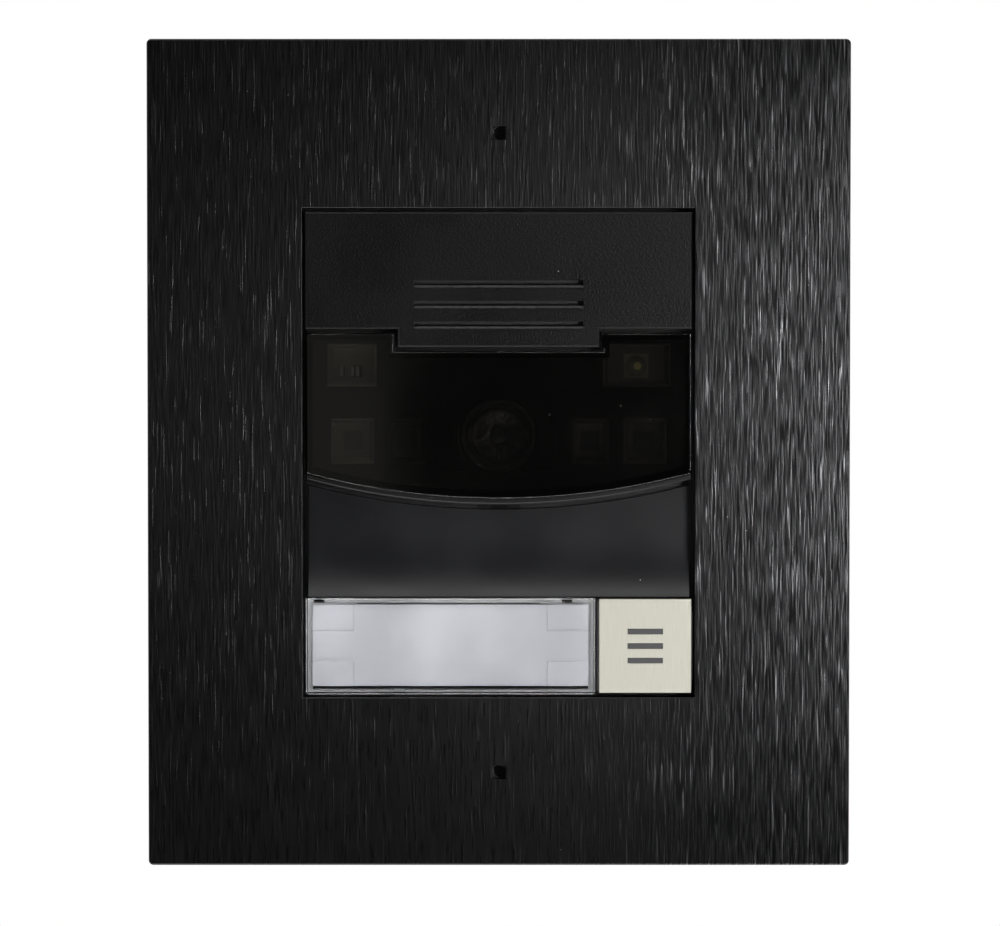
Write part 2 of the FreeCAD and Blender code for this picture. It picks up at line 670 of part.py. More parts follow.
def flip(profile):
    """Profile points (radius, forward) as sketch points (radius, Y), with arcs turned the same way."""
    turned = []
    for point in profile:
        radius, forward = point[:2]
        arc = ()
        if len(point) == 3:
            arc = (point[2][1:],) if point[2].startswith("-") else (f"-{point[2]}",)
        turned.append((radius, f"-({forward})") + arc)
    return turned


# ---- shared outlines ----------------------------------------------------------------------------

MODULE_WIDE = "opening_wide - 2 * side_gap"
MODULE_TOP = "opening_high / 2 - end_gap"
BEZEL_INSIDE_AT = "bezel_thick - bezel_skin"
FLANGE_REAR_AT = "flange_at - flange_thick"
BOX_REAR_AT = "box_front_at - box_deep"
BOX_FLOOR_AT = f"{BOX_REAR_AT} + box_floor"
CASE_FRONT_AT = f"{FLANGE_REAR_AT} - case_seal_thick"
BOARD_REAR_AT = "board_at - board_thick"
WINDOW_TOP = "cover_low - joint_gap"
NOTCH_WIDE = "tab_wide + 2 * (joint_gap - 0.05)"
WINDOW_REAR_AT = "window_at - window_thick"
LIGHT_BOARD_REAR_AT = "baffle_rear_at - light_board_thick"
PLATE_X = f"plate_wide / 2 - ({MODULE_WIDE}) / 2"
PLATE_Z = "row_top - plate_high / 2"
BUTTON_X = f"plate_wide - ({MODULE_WIDE}) / 2 + button_gap + button_wide / 2"
BUTTON_Z = "row_top - button_drop - button_high / 2"
CARRIER_FRONT_AT = "cover_at - button_thick"
SWITCH_FRONT_AT = "key_board_at + switch_high"
SLOT_MIDDLE = "slot_top - slot_pitch * (slot_count - 1) / 2"


def arc_radius(half_chord, sag):
    """Radius of an arc from half its chord and its sag."""
    return f"(({half_chord}) * ({half_chord}) + ({sag}) * ({sag})) / (2 * ({sag}))"


def visor_outline(sketch, inset="0", lip="0"):
    """The window's outline: stepped top, straight sides and a curved lower edge.

    inset draws it smaller all round, and lip lowers only the curved edge.
    """
    side = f"({MODULE_WIDE}) / 2 - ({inset})"
    top = f"{WINDOW_TOP} - ({inset})"
    step_x = f"({NOTCH_WIDE}) / 2 + ({inset})"
    step_z = f"{top} - tab_drop"
    low = f"window_low - ({lip}) + ({inset})"
    radius = arc_radius(f"({MODULE_WIDE}) / 2", "window_sag")
    return outline(
        sketch,
        [
            (f"-({side})", low, f"{radius} + ({lip}) - ({inset})"),
            (side, low),
            (side, top),
            (step_x, top),
            (step_x, step_z),
            (f"-({step_x})", step_z),
            (f"-({step_x})", top),
            (f"-({side})", top),
        ],
    )


def bay_outline(sketch, gap="0"):
    """The stepped bay in the chassis that takes the baffle and the light board."""
    side = f"({MODULE_WIDE}) / 2 - bay_margin - ({gap})"
    top = f"{WINDOW_TOP} - bay_inset - ({gap})"
    step_x = f"({NOTCH_WIDE}) / 2 - bay_margin + ({gap})"
    step_z = f"{top} - tab_drop"
    low = f"bay_low + ({gap})"
    return outline(
        sketch,
        [
            (f"-({side})", low),
            (side, low),
            (side, top),
            (step_x, top),
            (step_x, step_z),
            (f"-({step_x})", step_z),
            (f"-({step_x})", top),
            (f"-({side})", top),
        ],
    )


def tab_outline(sketch, inset="0"):
    """The upper cover's outline, with its tab stepping down in the middle."""
    side = f"({MODULE_WIDE}) / 2 - ({inset})"
    low = f"cover_low + ({inset})"
    tab_x = f"tab_wide / 2 - ({inset})"
    tab_z = f"cover_low - tab_drop + ({inset})"
    top = f"{MODULE_TOP} - ({inset})"
    return outline(
        sketch,
        [
            (f"-({side})", low),
            (f"-({tab_x})", low),
            (f"-({tab_x})", tab_z),
            (tab_x, tab_z),
            (tab_x, low),
            (side, low),
            (side, top),
            (f"-({side})", top),
        ],
    )


# ---- bezel and its fixings ----------------------------------------------------------------------


def bezel_plate():
    """Cover frame: a thick-edged sheet, hollow behind, with a collar round its window."""
    body = new_body("bezel_plate")
    blank = new_sketch(body, "blank")
    round_rectangle(blank, "bezel_wide", "bezel_high", "bezel_corner")
    pad(blank, "bezel_thick")
    ease(body, "Fillet", "bezel_edge", outer_front("bezel_thick", "bezel_wide", "bezel_high"))
    relief = new_sketch(body, "relief")
    rectangle(relief, "bezel_wide - 2 * bezel_rim", "bezel_high - 2 * bezel_rim")
    cut(relief, "collar_at", forward=True)
    hollow = new_sketch(body, "hollow")
    rectangle(hollow, "bezel_wide - 2 * bezel_rim", "bezel_high - 2 * bezel_rim")
    rectangle(hollow, "opening_wide + 2 * collar", "opening_high + 2 * collar")
    cut(hollow, BEZEL_INSIDE_AT, forward=True)
    window = new_sketch(body, "window")
    rectangle(window, "opening_wide", "opening_high")
    cut(window, "bezel_thick", forward=True)
    ease(body, "Fillet", "opening_edge", outer_front("bezel_thick", "opening_wide", "opening_high"))
    for side, z in (("upper", "keyhole_up"), ("lower", "-keyhole_up")):
        hole = new_sketch(body, f"{side}_keyhole")
        rectangle(hole, "keyhole", "keyhole", y=z)
        cut(hole, "bezel_thick", forward=True)


def bezel_bridges():
    """Bent strips behind the key holes: each traps a screw head against the back of the face."""
    body = new_body("bezel_bridges")
    strip = new_sketch(body, "strip", at="keyhole_up - bridge_high / 2", role="XY_Plane")
    inner, outer = "bridge_span / 2", "bridge_span / 2 + bridge_thick"
    toe = f"{outer} + bridge_foot"
    front, foot = f"-({BEZEL_INSIDE_AT})", f"-({BEZEL_INSIDE_AT} - bridge_thick)"
    outline(
        strip,
        [
            (f"-({toe})", front),
            (f"-({inner})", front),
            (f"-({inner})", "0"),
            (inner, "0"),
            (inner, front),
            (toe, front),
            (toe, foot),
            (outer, foot),
            (outer, "bridge_thick"),
            (f"-({outer})", "bridge_thick"),
            (f"-({outer})", foot),
            (f"-({toe})", foot),
        ],
    )
    pad(strip, "bridge_high")
    hole = new_sketch(body, "hole")
    circle(hole, "bezel_screw_radius + screw_clearance", y="keyhole_up")
    cut(hole, "bridge_thick")
    mirror(body, "XY_Plane")


def screw(label, x, z, seat_at, radius, head_radius, head_high, long, facing=1):
    """One machine screw with a rounded head. It points back into the wall, or forward if facing is -1."""
    crown = f"crown_share * ({head_high})"

    def level(text):
        return f"({seat_at}) + {facing} * ({text})"

    tip = f"({radius}) * point_share"
    profile = [
        ("0", level(head_high)),
        ("0", level(f"-({long})")),
        (tip, level(f"-({long})")),
        (radius, level(f"-({long}) + ({radius}) * point_long_share")),
        (radius, level("0")),
        (head_radius, level("0")),
        (head_radius, level(f"{head_high} - {crown}")),
        (f"({head_radius}) - {crown}", level(head_high)),
    ]
    if facing == -1:
        profile.reverse()
    return lathe(label, x, z, profile)


def hexagon(sketch, across, x="0", y="0"):
    """Draws a hexagon of that width across its flats."""
    half, corner = f"({across}) / 2", f"({across}) / 2 / cos(30 deg)"
    slant = f"({across}) / 4 / cos(30 deg)"
    points = [("0", f"-({corner})"), (half, f"-({slant})"), (half, slant)]
    points += [("0", corner), (f"-({half})", slant), (f"-({half})", f"-({slant})")]
    return outline(sketch, [(f"({x}) + {a}", f"({y}) + {b}") for a, b in points])


def bezel_screws():
    """Socket screws trapped behind the key holes. A hex key reaches them through the square holes."""
    body = screw(
        "bezel_screws", "0", "keyhole_up", "0", "bezel_screw_radius",
        "bezel_head_radius", "bezel_head_high", "bezel_screw_long",
    )
    socket = new_sketch(body, "socket", at="bezel_head_high")
    hexagon(socket, "hex_key", y="keyhole_up")
    cut(socket, "bezel_head_high * socket_share")
    mirror(body, "XY_Plane")


def insert(label, x, z, front_at, mirrors):
    """Brass inserts with a waist between two bands."""
    outer, waist = "insert_radius", "insert_radius - waist_deep"
    bore = "unit_screw_radius + thread_clearance"
    rear = f"({front_at}) - insert_long"
    band = "insert_long * band_share"
    body = lathe(
        label, x, z,
        [
            (bore, front_at),
            (bore, rear),
            (outer, rear),
            (outer, f"{rear} + {band}"),
            (waist, f"{rear} + {band}"),
            (waist, f"({front_at}) - {band}"),
            (outer, f"({front_at}) - {band}"),
            (outer, front_at),
        ],
    )
    for role in mirrors:
        mirror(body, role)


def bezel_seal():
    """Foam frame that the bezel's collar presses on the chassis flange."""
    body = new_body("bezel_seal")
    ring = new_sketch(body, "ring", at="flange_at")
    inner_wide, inner_high = "opening_wide + 2 * bezel_seal_gap", "opening_high + 2 * bezel_seal_gap"
    rectangle(ring, f"{inner_wide} + 2 * bezel_seal_wide", f"{inner_high} + 2 * bezel_seal_wide")
    rectangle(ring, inner_wide, inner_high)
    pad(ring, "collar_at - flange_at")


# ---- wall box -----------------------------------------------------------------------------------


def wall_box():
    """Box set in the wall: plaster keys outside, screw pillars, knockouts and one open conduit entry."""
    body = new_body("wall_box")
    shell = new_sketch(body, "shell", at=BOX_REAR_AT)
    round_rectangle(shell, "box_wide", "box_high", "box_corner")
    pad(shell, "box_deep")
    key = new_sketch(body, "key", at=f"{BOX_REAR_AT} + box_deep - key_pitch")
    round_rectangle(key, "box_wide + 2 * key_rib", "box_high + 2 * key_rib", "box_corner + key_rib")
    first_key = pad(key, "key_thick")
    repeat(first_key, "Y_Axis", "key_pitch", "key_count")
    room = new_sketch(body, "room", at="box_front_at")
    round_rectangle(room, "box_wide - 2 * box_wall", "box_high - 2 * box_wall", "box_corner - box_wall")
    cut(room, "box_deep - box_floor")
    pillars = new_sketch(body, "pillars", at=BOX_REAR_AT)
    circles(pillars, "pillar_radius", "pillar_x", "pillar_z")
    pad(pillars, f"{FLANGE_REAR_AT} - ({BOX_REAR_AT})")
    bosses = new_sketch(body, "bosses", at=BOX_REAR_AT)
    circles(bosses, "pillar_radius", "0", "keyhole_up")
    pad(bosses, f"boss_at - ({BOX_REAR_AT})")
    webs = new_sketch(body, "webs", at=BOX_REAR_AT)
    for sign in ("", "-"):
        middle = f"{sign}(box_high / 2 + keyhole_up) / 2"
        rectangle(webs, "pillar_radius", "box_high / 2 - keyhole_up - 0.5", y=middle)
    pad(webs, f"boss_at - ({BOX_REAR_AT})")
    for name, x, z, front in (
        ("pillar_holes", "pillar_x", "pillar_z", FLANGE_REAR_AT),
        ("boss_holes", "0", "keyhole_up", "boss_at"),
    ):
        holes = new_sketch(body, name, at=front)
        circles(holes, "insert_radius + insert_gap", x, z)
        cut(holes, "insert_long + 3")
    fixings = new_sketch(body, "fixings", at=BOX_FLOOR_AT)
    circles(fixings, "fixing_radius", "fixing_pitch / 2", "fixing_pitch / 2")
    cut(fixings, "box_floor")
    for name, sign in (("upper", ""), ("lower", "-")):
        below = sign == "-"
        flats = new_sketch(body, f"{name}_flats", at=f"{sign}(box_high / 2 + key_rib)", role="XY_Plane")
        groove = new_sketch(body, f"{name}_groove", at=f"{sign}box_high / 2", role="XY_Plane")
        for side in ("", "-"):
            circle(flats, "conduit_radius + conduit_wall", f"{side}conduit_x", "-conduit_at")
        for side in ("",) if below else ("", "-"):
            for radius in ("knockout_radius", "knockout_radius - knockout_groove"):
                circle(groove, radius, f"{side}conduit_x", "-conduit_at")
        cut(flats, "key_rib", forward=below)
        cut(groove, "box_wall - knockout_web", forward=below)
    collar = new_sketch(body, "collar", at="-box_high / 2", role="XY_Plane")
    circle(collar, "conduit_radius + conduit_wall", "-conduit_x", "-conduit_at")
    pad(collar, "conduit_grip + conduit_lip")
    stop = new_sketch(body, "stop", at="-box_high / 2", role="XY_Plane")
    circle(stop, "conduit_radius - conduit_lip", "-conduit_x", "-conduit_at")
    cut(stop, "conduit_grip + conduit_lip", forward=True)
    entry = new_sketch(body, "entry", at="-box_high / 2", role="XY_Plane")
    circle(entry, "conduit_radius", "-conduit_x", "-conduit_at")
    cut(entry, "conduit_grip", forward=True)


# ---- chassis and rear case ----------------------------------------------------------------------


def chassis():
    """Moulded plate that everything of the door unit is fixed to."""
    body = new_body("chassis")
    flange = new_sketch(body, "flange", at=FLANGE_REAR_AT)
    round_rectangle(flange, "flange_wide", "flange_high", "flange_corner")
    pad(flange, "flange_thick")
    block = new_sketch(body, "block", at="flange_at")
    rectangle(block, MODULE_WIDE, f"2 * ({MODULE_TOP})")
    pad(block, "front_at - flange_at")
    bosses = new_sketch(body, "bosses", at="board_at")
    circles(bosses, "boss_radius", "boss_x", "boss_z")
    pad(bosses, f"{FLANGE_REAR_AT} - board_at")
    pilots = new_sketch(body, "pilots", at="board_at")
    circles(pilots, "case_screw_radius + thread_clearance", "boss_x", "boss_z")
    cut(pilots, f"{FLANGE_REAR_AT} - board_at + past", forward=True)
    holes = new_sketch(body, "holes", at="flange_at")
    circles(holes, "unit_screw_radius + screw_clearance", "pillar_x", "pillar_z")
    cut(holes, "flange_thick")
    depth = f"front_at - ({FLANGE_REAR_AT})"
    bay = new_sketch(body, "bay", at="front_at")
    bay_outline(bay)
    cut(bay, depth)
    well = new_sketch(body, "speaker_well", at="front_at")
    circle(well, "speaker_radius + speaker_gap", y="speaker_z")
    cut(well, "speaker_rim + speaker_seal")
    throat = new_sketch(body, "speaker_throat", at="front_at")
    circle(throat, "speaker_radius + speaker_gap - speaker_shelf", y="speaker_z")
    cut(throat, depth)
    mic = new_sketch(body, "mic_hole", at="front_at")
    circle(mic, "boot_radius + boot_gap", y="mic_z")
    cut(mic, depth)
    glow = new_sketch(body, "glow_hole", at="front_at")
    rectangle(
        glow, "plate_wide - 2 * plate_wall - 2 * glow_margin",
        "plate_high - 2 * plate_wall - 2 * glow_margin", PLATE_X, PLATE_Z,
    )
    cut(glow, depth)
    key_well = new_sketch(body, "key_well", at="front_at")
    rectangle(key_well, "well_wide", "well_high", BUTTON_X, BUTTON_Z)
    cut(key_well, depth)
    ledge = new_sketch(body, "ledge", at="flange_at")
    rectangle(ledge, "well_wide + 2 * well_step", "well_high", BUTTON_X, BUTTON_Z)
    cut(ledge, "flange_thick")


def case_seal():
    """Seal between chassis and rear case."""
    body = new_body("case_seal")
    ring = new_sketch(body, "ring", at=CASE_FRONT_AT)
    rectangle(ring, "case_wide - 0.4", "case_high - 0.4")
    rectangle(ring, "case_wide - 0.4 - 2 * case_seal_wide", "case_high - 0.4 - 2 * case_seal_wide")
    pad(ring, "case_seal_thick")


def rear_case():
    """Tray behind the chassis, with screw bosses and a bay that leaves the connectors bare."""
    body = new_body("rear_case")
    tray = new_sketch(body, "tray", at="case_rear_at")
    round_rectangle(tray, "case_wide", "case_high", "case_corner")
    pad(tray, f"{CASE_FRONT_AT} - case_rear_at")
    room = new_sketch(body, "room", at=CASE_FRONT_AT)
    round_rectangle(
        room, "case_wide - 2 * case_wall", "case_high - 2 * case_wall", "case_corner - case_wall",
    )
    cut(room, f"{CASE_FRONT_AT} - case_rear_at - case_wall")
    bosses = new_sketch(body, "bosses", at="case_rear_at")
    circles(bosses, "boss_radius + 0.2", "boss_x", "boss_z")
    pad(bosses, f"{BOARD_REAR_AT} - case_rear_at")
    holes = new_sketch(body, "holes", at="case_rear_at")
    circles(holes, "case_screw_radius + screw_clearance", "boss_x", "boss_z")
    cut(holes, f"{BOARD_REAR_AT} - case_rear_at", forward=True)
    sinks = new_sketch(body, "head_sinks", at="case_rear_at")
    circles(sinks, "case_head_radius + screw_clearance", "boss_x", "boss_z")
    cut(sinks, "case_head_high + 0.2", forward=True)
    bay = new_sketch(body, "port_bay", at="case_rear_at")
    high = "port_bay_top + case_high / 2 + past"
    rectangle(bay, "port_bay_wide", high, y=f"port_bay_top - ({high}) / 2")
    cut(bay, "port_bay_at - case_rear_at", forward=True)


# ---- upper cover and speaker --------------------------------------------------------------------


def upper_cover():
    """Upper cover with the speaker slots and a tab that steps down into the window."""
    body = new_body("upper_cover")
    face = new_sketch(body, "face", at="front_at")
    tab_outline(face)
    pad(face, "cover_at - front_at")
    ease(body, "Fillet", "cover_edge", on_front("cover_at"))
    room = new_sketch(body, "room", at="front_at")
    tab_outline(room, "cover_wall")
    cut(room, "cover_at - front_at - cover_skin", forward=True)
    slot = new_sketch(body, "slot", role="YZ_Plane")
    front, rear = "-cover_at - past", "-cover_at + cover_skin + past"
    depth = "sill_round - sqrt(sill_round * sill_round - slot_rise * slot_rise)"
    low, high = "slot_top - slot_high / 2", "slot_top + slot_high / 2"
    outline(
        slot,
        [
            (front, low),
            ("-cover_at", low, "-sill_round"),
            (f"-cover_at + {depth}", f"{low} + slot_rise"),
            (rear, f"{low} + slot_rise"),
            (rear, f"{high} + slot_rise"),
            (f"-cover_at + {depth}", f"{high} + slot_rise"),
            ("-cover_at", high),
            (front, high),
        ],
    )
    first = cut(slot, "slot_long", both_ways=True)
    repeat(first, "Z_Axis", "slot_pitch", "slot_count", backwards=True)


def speaker_mesh():
    """Fine mesh bonded behind the slots."""
    body = new_body("speaker_mesh")
    sheet = new_sketch(body, "sheet", at="cover_at - cover_skin - mesh_thick")
    high = "slot_pitch * (slot_count - 1) + slot_high + 2 * mesh_margin"
    rectangle(sheet, "slot_long + 2 * mesh_margin", high, y=f"{SLOT_MIDDLE} + slot_rise")
    pad(sheet, "mesh_thick")


def speaker():
    """Small loudspeaker: seal, basket, magnet, voice coil, cone and rubber surround."""
    rim_rear = "front_at - speaker_rim"
    lathe(
        "speaker_seal", "0", "speaker_z",
        [
            ("speaker_radius + speaker_gap - speaker_shelf", f"{rim_rear} - speaker_seal"),
            ("speaker_radius", f"{rim_rear} - speaker_seal"),
            ("speaker_radius", rim_rear),
            ("speaker_radius + speaker_gap - speaker_shelf", rim_rear),
        ],
    )
    rear = "front_at - basket_deep"
    hole = "coil_radius + coil_gap"
    neck = "speaker_radius - speaker_shelf"
    lathe(
        "speaker_basket", "0", "speaker_z",
        [
            ("speaker_radius", "front_at"),
            ("speaker_radius", rim_rear),
            (neck, rim_rear),
            ("basket_radius", rear),
            (hole, rear),
            (hole, f"{rear} + basket_skin"),
            ("basket_radius - basket_skin", f"{rear} + basket_skin"),
            (f"{neck} - basket_skin", rim_rear),
            (f"{neck} - basket_skin", "front_at"),
        ],
    )
    groove = f"{rear} - coil_long + 0.6"
    core = "coil_radius - coil_wall - coil_gap"
    lathe(
        "speaker_magnet", "0", "speaker_z",
        [
            ("0", rear),
            ("0", f"{rear} - magnet_long"),
            ("magnet_radius", f"{rear} - magnet_long"),
            ("magnet_radius", rear),
            (hole, rear),
            (hole, groove),
            (core, groove),
            (core, rear),
        ],
    )
    rim = "front_at"
    foot = f"{rim} - cone_deep"
    coil_top = f"{foot} - cone_skin"
    lathe(
        "voice_coil", "0", "speaker_z",
        [
            ("coil_radius", coil_top),
            ("coil_radius - coil_wall", coil_top),
            ("coil_radius - coil_wall", f"{coil_top} - coil_long"),
            ("coil_radius", f"{coil_top} - coil_long"),
        ],
    )
    cap = arc_radius("coil_radius", "coil_radius / 4")
    lathe(
        "speaker_cone", "0", "speaker_z",
        [
            ("0", f"{foot} + coil_radius / 4", f"-({cap})"),
            ("coil_radius", foot),
            ("cone_radius - cone_rim", rim),
            ("cone_radius", rim),
            ("cone_radius", f"{rim} - cone_skin"),
            ("cone_radius - cone_rim", f"{rim} - cone_skin"),
            ("coil_radius", f"{foot} - cone_skin"),
            ("0", f"{foot} - cone_skin"),
        ],
    )
    inner, outer = "cone_radius + 0.1", "speaker_radius - speaker_shelf - basket_skin - 0.1"
    middle, half = f"({inner} + {outer}) / 2", f"({outer} - ({inner})) / 2"
    lathe(
        "speaker_surround", "0", "speaker_z",
        [
            ("cone_radius - cone_rim + 0.1", "front_at"),
            (inner, "front_at"),
            (middle, f"front_at + {half} * 0.8"),
            (outer, "front_at"),
            ("surround_radius", "front_at"),
            ("surround_radius", "front_at + surround_skin"),
            (f"{outer} - 0.1", "front_at + surround_skin"),
            (middle, f"front_at + {half} * 0.8 + surround_skin"),
            (f"{inner} + 0.1", "front_at + surround_skin"),
            ("cone_radius - cone_rim + 0.1", "front_at + surround_skin"),
        ],
    )


def bent_tube(points, radius):
    """A round tube along straight runs, with an arc at each point as large as its runs allow."""
    run_share = 0.45
    edges_of_path = []
    start = points[0]
    for before, corner, after in zip(points, points[1:], points[2:]):
        back, onward = (before - corner), (after - corner)
        turn_angle = math.pi - back.getAngle(onward)
        reach = run_share * min(back.Length, onward.Length)
        bend = reach / math.tan(turn_angle / 2)
        near = corner + back.normalize() * reach
        far = corner + onward.normalize() * reach
        inward = (back + onward).normalize()
        middle = corner + inward * (bend / math.cos(turn_angle / 2) - bend)
        edges_of_path.append(Part.LineSegment(start, near).toShape())
        edges_of_path.append(Part.Arc(near, middle, far).toShape())
        start = far
    edges_of_path.append(Part.LineSegment(start, points[-1]).toShape())
    direction = points[1] - points[0]
    section = Part.Wire(Part.makeCircle(radius, points[0], direction))
    return Part.Wire(edges_of_path).makePipeShell([section], True, False)


def speaker_leads():
    """Two insulated leads from the back of the basket to the main board."""
    part = DOC.addObject("Part::Feature", "speaker_leads")
    part.Label = "speaker_leads"
    rear, board = -amount("front_at - basket_deep"), -amount("board_at")
    high = amount("speaker_z - (basket_radius + magnet_radius) / 2")
    low = high - amount("lead_drop")
    quarter = (board - rear) / 4
    leads = []
    for side in (-0.5, 0.5):
        x = side * amount("lead_pitch")
        points = [(rear, high), (rear + quarter, high), (board - quarter, low), (board, low)]
        route = [FreeCAD.Vector(x, y, z) for y, z in points]
        leads.append(bent_tube(route, amount("lead_radius")))
    part.Shape = Part.makeCompound(leads)
    PARTS.append(part)


# ---- window, baffle and camera ------------------------------------------------------------------


def camera_window():
    """Smoked window with a stepped top and a curved lower edge."""
    body = new_body("camera_window")
    face = new_sketch(body, "face", at=WINDOW_REAR_AT)
    visor_outline(face)
    pad(face, "window_thick")
    ease(body, "Chamfer", "window_edge", on_front("window_at"))


def window_tape():
    """Adhesive frame that seals the window to the baffle."""
    body = new_body("window_tape")
    ring = new_sketch(body, "ring", at=f"{WINDOW_REAR_AT} - tape_thick")
    visor_outline(ring, "0.3")
    visor_outline(ring, "0.3 + tape_wide")
    pad(ring, "tape_thick")


def light_baffle():
    """Black carrier behind the window, divided into cells, with a lip that shows below the window."""
    body = new_body("light_baffle")
    plate = new_sketch(body, "plate", at="front_at")
    visor_outline(plate, lip="lip_high")
    pad(plate, "lip_at - front_at")
    ease(body, "Chamfer", "lip_edge", on_front("lip_at"))
    seat = new_sketch(body, "seat", at="lip_at")
    visor_outline(seat, "-0.06")
    cut(seat, f"lip_at - ({WINDOW_REAR_AT}) + tape_thick")
    plug = new_sketch(body, "plug", at="baffle_rear_at")
    bay_outline(plug, "bay_gap")
    pad(plug, "front_at - baffle_rear_at")
    eye = new_sketch(body, "eye", at=WINDOW_REAR_AT)
    rectangle(eye, "eye_wide", "eye_high", y="eye_z")
    cut(eye, "eye_deep")
    bore = new_sketch(body, "bore", at="baffle_rear_at")
    circle(bore, "barrel_radius + barrel_gap", y="eye_z")
    cut(bore, f"{WINDOW_REAR_AT} - eye_deep - baffle_rear_at", forward=True)
    for name, x, z, wide, high in (
        ("outer_left", "-outer_cell_x", "cell_z", "outer_cell_wide", "cell_high"),
        ("inner_left", "-inner_cell_x", "cell_z", "inner_cell_wide", "cell_high"),
        ("inner_right", "inner_cell_x", "cell_z", "inner_cell_wide", "cell_high"),
        ("outer_right", "outer_cell_x", "cell_z", "outer_cell_wide", "cell_high"),
        ("sensor", "sensor_cell_x", "top_cell_z", "sensor_cell_wide", "top_cell_high"),
        ("lamp", "lamp_cell_x", "top_cell_z", "lamp_cell_wide", "top_cell_high"),
    ):
        cell = new_sketch(body, f"{name}_cell", at="lip_at")
        rectangle(cell, wide, high, x, z)
        cut(cell, "lip_at - baffle_rear_at")


def light_board():
    """Board behind the baffle that carries the lamps and the light sensor."""
    body = new_body("light_board")
    sheet = new_sketch(body, "sheet", at=LIGHT_BOARD_REAR_AT)
    bay_outline(sheet, "light_board_gap")
    pad(sheet, "light_board_thick")
    hole = new_sketch(body, "lens_hole", at="baffle_rear_at")
    circle(hole, "barrel_radius + barrel_gap", y="eye_z")
    cut(hole, "light_board_thick")


def dome_lamp(label, x, z, side, thick, dome):
    """A square lamp body with a domed lens on it."""
    body = new_body(label)
    base = new_sketch(body, "base", at="baffle_rear_at")
    rectangle(base, side, side, x, z)
    pad(base, thick)
    lens = new_sketch(body, "lens", at=z, role="XY_Plane", x=x)
    foot = f"baffle_rear_at + ({thick}) / 2"
    top = f"baffle_rear_at + ({thick})"
    corners = [("0", foot), (dome, foot), (dome, top, dome), ("0", f"{top} + ({dome})")]
    outline(lens, flip(corners))
    turn(lens)
    return body


def light_sources():
    """Four infrared lamps, one white lamp and the light sensor, all on the light board."""
    body = dome_lamp("infrared_lamps", "inner_cell_x", "cell_z", "led_side", "led_thick", "led_dome")
    DOC.recompute()
    row = body.newObject("PartDesign::LinearPattern", "infrared_row")
    row.TransformMode = "Whole shape"
    row.Direction = (datum(body, "X_Axis"), [""])
    row.setExpression("Length", bound("outer_cell_x - inner_cell_x"))
    row.Occurrences = 2
    body.Tip = row
    mirror(body, "YZ_Plane")
    dome_lamp("white_lamp", "lamp_cell_x", "lamp_z", "led_side + lamp_body_more", "led_thick", "lamp_dome")
    sensor = new_body("light_sensor")
    chip = new_sketch(sensor, "chip", at="baffle_rear_at")
    rectangle(chip, "chip_wide", "chip_high", "sensor_cell_x + chip_right", "top_cell_z - chip_low")
    pad(chip, "chip_thick")
    passive = new_sketch(sensor, "passive", at="baffle_rear_at")
    rectangle(
        passive, "passive_wide", "passive_high", "sensor_cell_x - passive_left", "top_cell_z - chip_low",
    )
    pad(passive, "chip_thick / 2")


def camera():
    """Lens barrel with its front glass, lens holder, image sensor and camera board."""
    rear = "barrel_at - barrel_long"
    step = "barrel_at - barrel_step"
    cone_foot = "barrel_at - funnel_deep"
    glass_rear = f"{cone_foot} - glass_thick"
    lathe(
        "lens_barrel", "0", "eye_z",
        [
            ("glass_radius * throat_share", rear),
            ("thread_radius", rear),
            ("thread_radius", step),
            ("barrel_radius", step),
            ("barrel_radius", "barrel_at - barrel_bevel"),
            ("barrel_radius - barrel_bevel", "barrel_at"),
            ("ring_radius + dish_outer", "barrel_at"),
            ("ring_radius + dish_inner", "barrel_at - dish_deep"),
            ("ring_radius + ring_outer", "barrel_at - dish_deep"),
            ("ring_radius + ring_slope", "barrel_at - ring_low"),
            ("ring_radius - ring_inner", "barrel_at - ring_low"),
            ("glass_radius + cone_step", cone_foot),
            ("glass_radius + glass_fit", cone_foot),
            ("glass_radius + glass_fit", glass_rear),
            ("glass_radius * throat_share", glass_rear),
        ],
    )
    dome = arc_radius("glass_radius", "glass_crown + glass_low")
    lathe(
        "front_glass", "0", "eye_z",
        [
            ("0", f"{cone_foot} + glass_crown", f"-({dome})"),
            ("glass_radius", f"{cone_foot} - glass_low"),
            ("glass_radius", glass_rear),
            ("0", glass_rear),
        ],
    )
    holder = new_body("lens_holder")
    block = new_sketch(holder, "block", at="holder_rear_at")
    rectangle(block, "holder_side", "holder_side", y="eye_z")
    pad(block, "holder_long")
    bore = new_sketch(holder, "bore", at="holder_rear_at")
    circle(bore, "thread_radius + thread_clearance", y="eye_z")
    cut(bore, "holder_long", forward=True)
    board = new_body("camera_board")
    sheet = new_sketch(board, "sheet", at="holder_rear_at - camera_board_thick")
    rectangle(sheet, "camera_board_side", "camera_board_side", y="eye_z")
    pad(sheet, "camera_board_thick")
    socket = new_sketch(board, "socket", at="board_at")
    rectangle(socket, "camera_board_side * socket_wide_share", "socket_high", y="eye_z")
    pad(socket, "holder_rear_at - camera_board_thick - board_at")
    sensor = new_body("image_sensor")
    chip = new_sketch(sensor, "chip", at="holder_rear_at")
    rectangle(chip, "sensor_wide", "sensor_high", y="eye_z")
    pad(chip, "sensor_thick")


# ---- lower cover and microphone -----------------------------------------------------------------


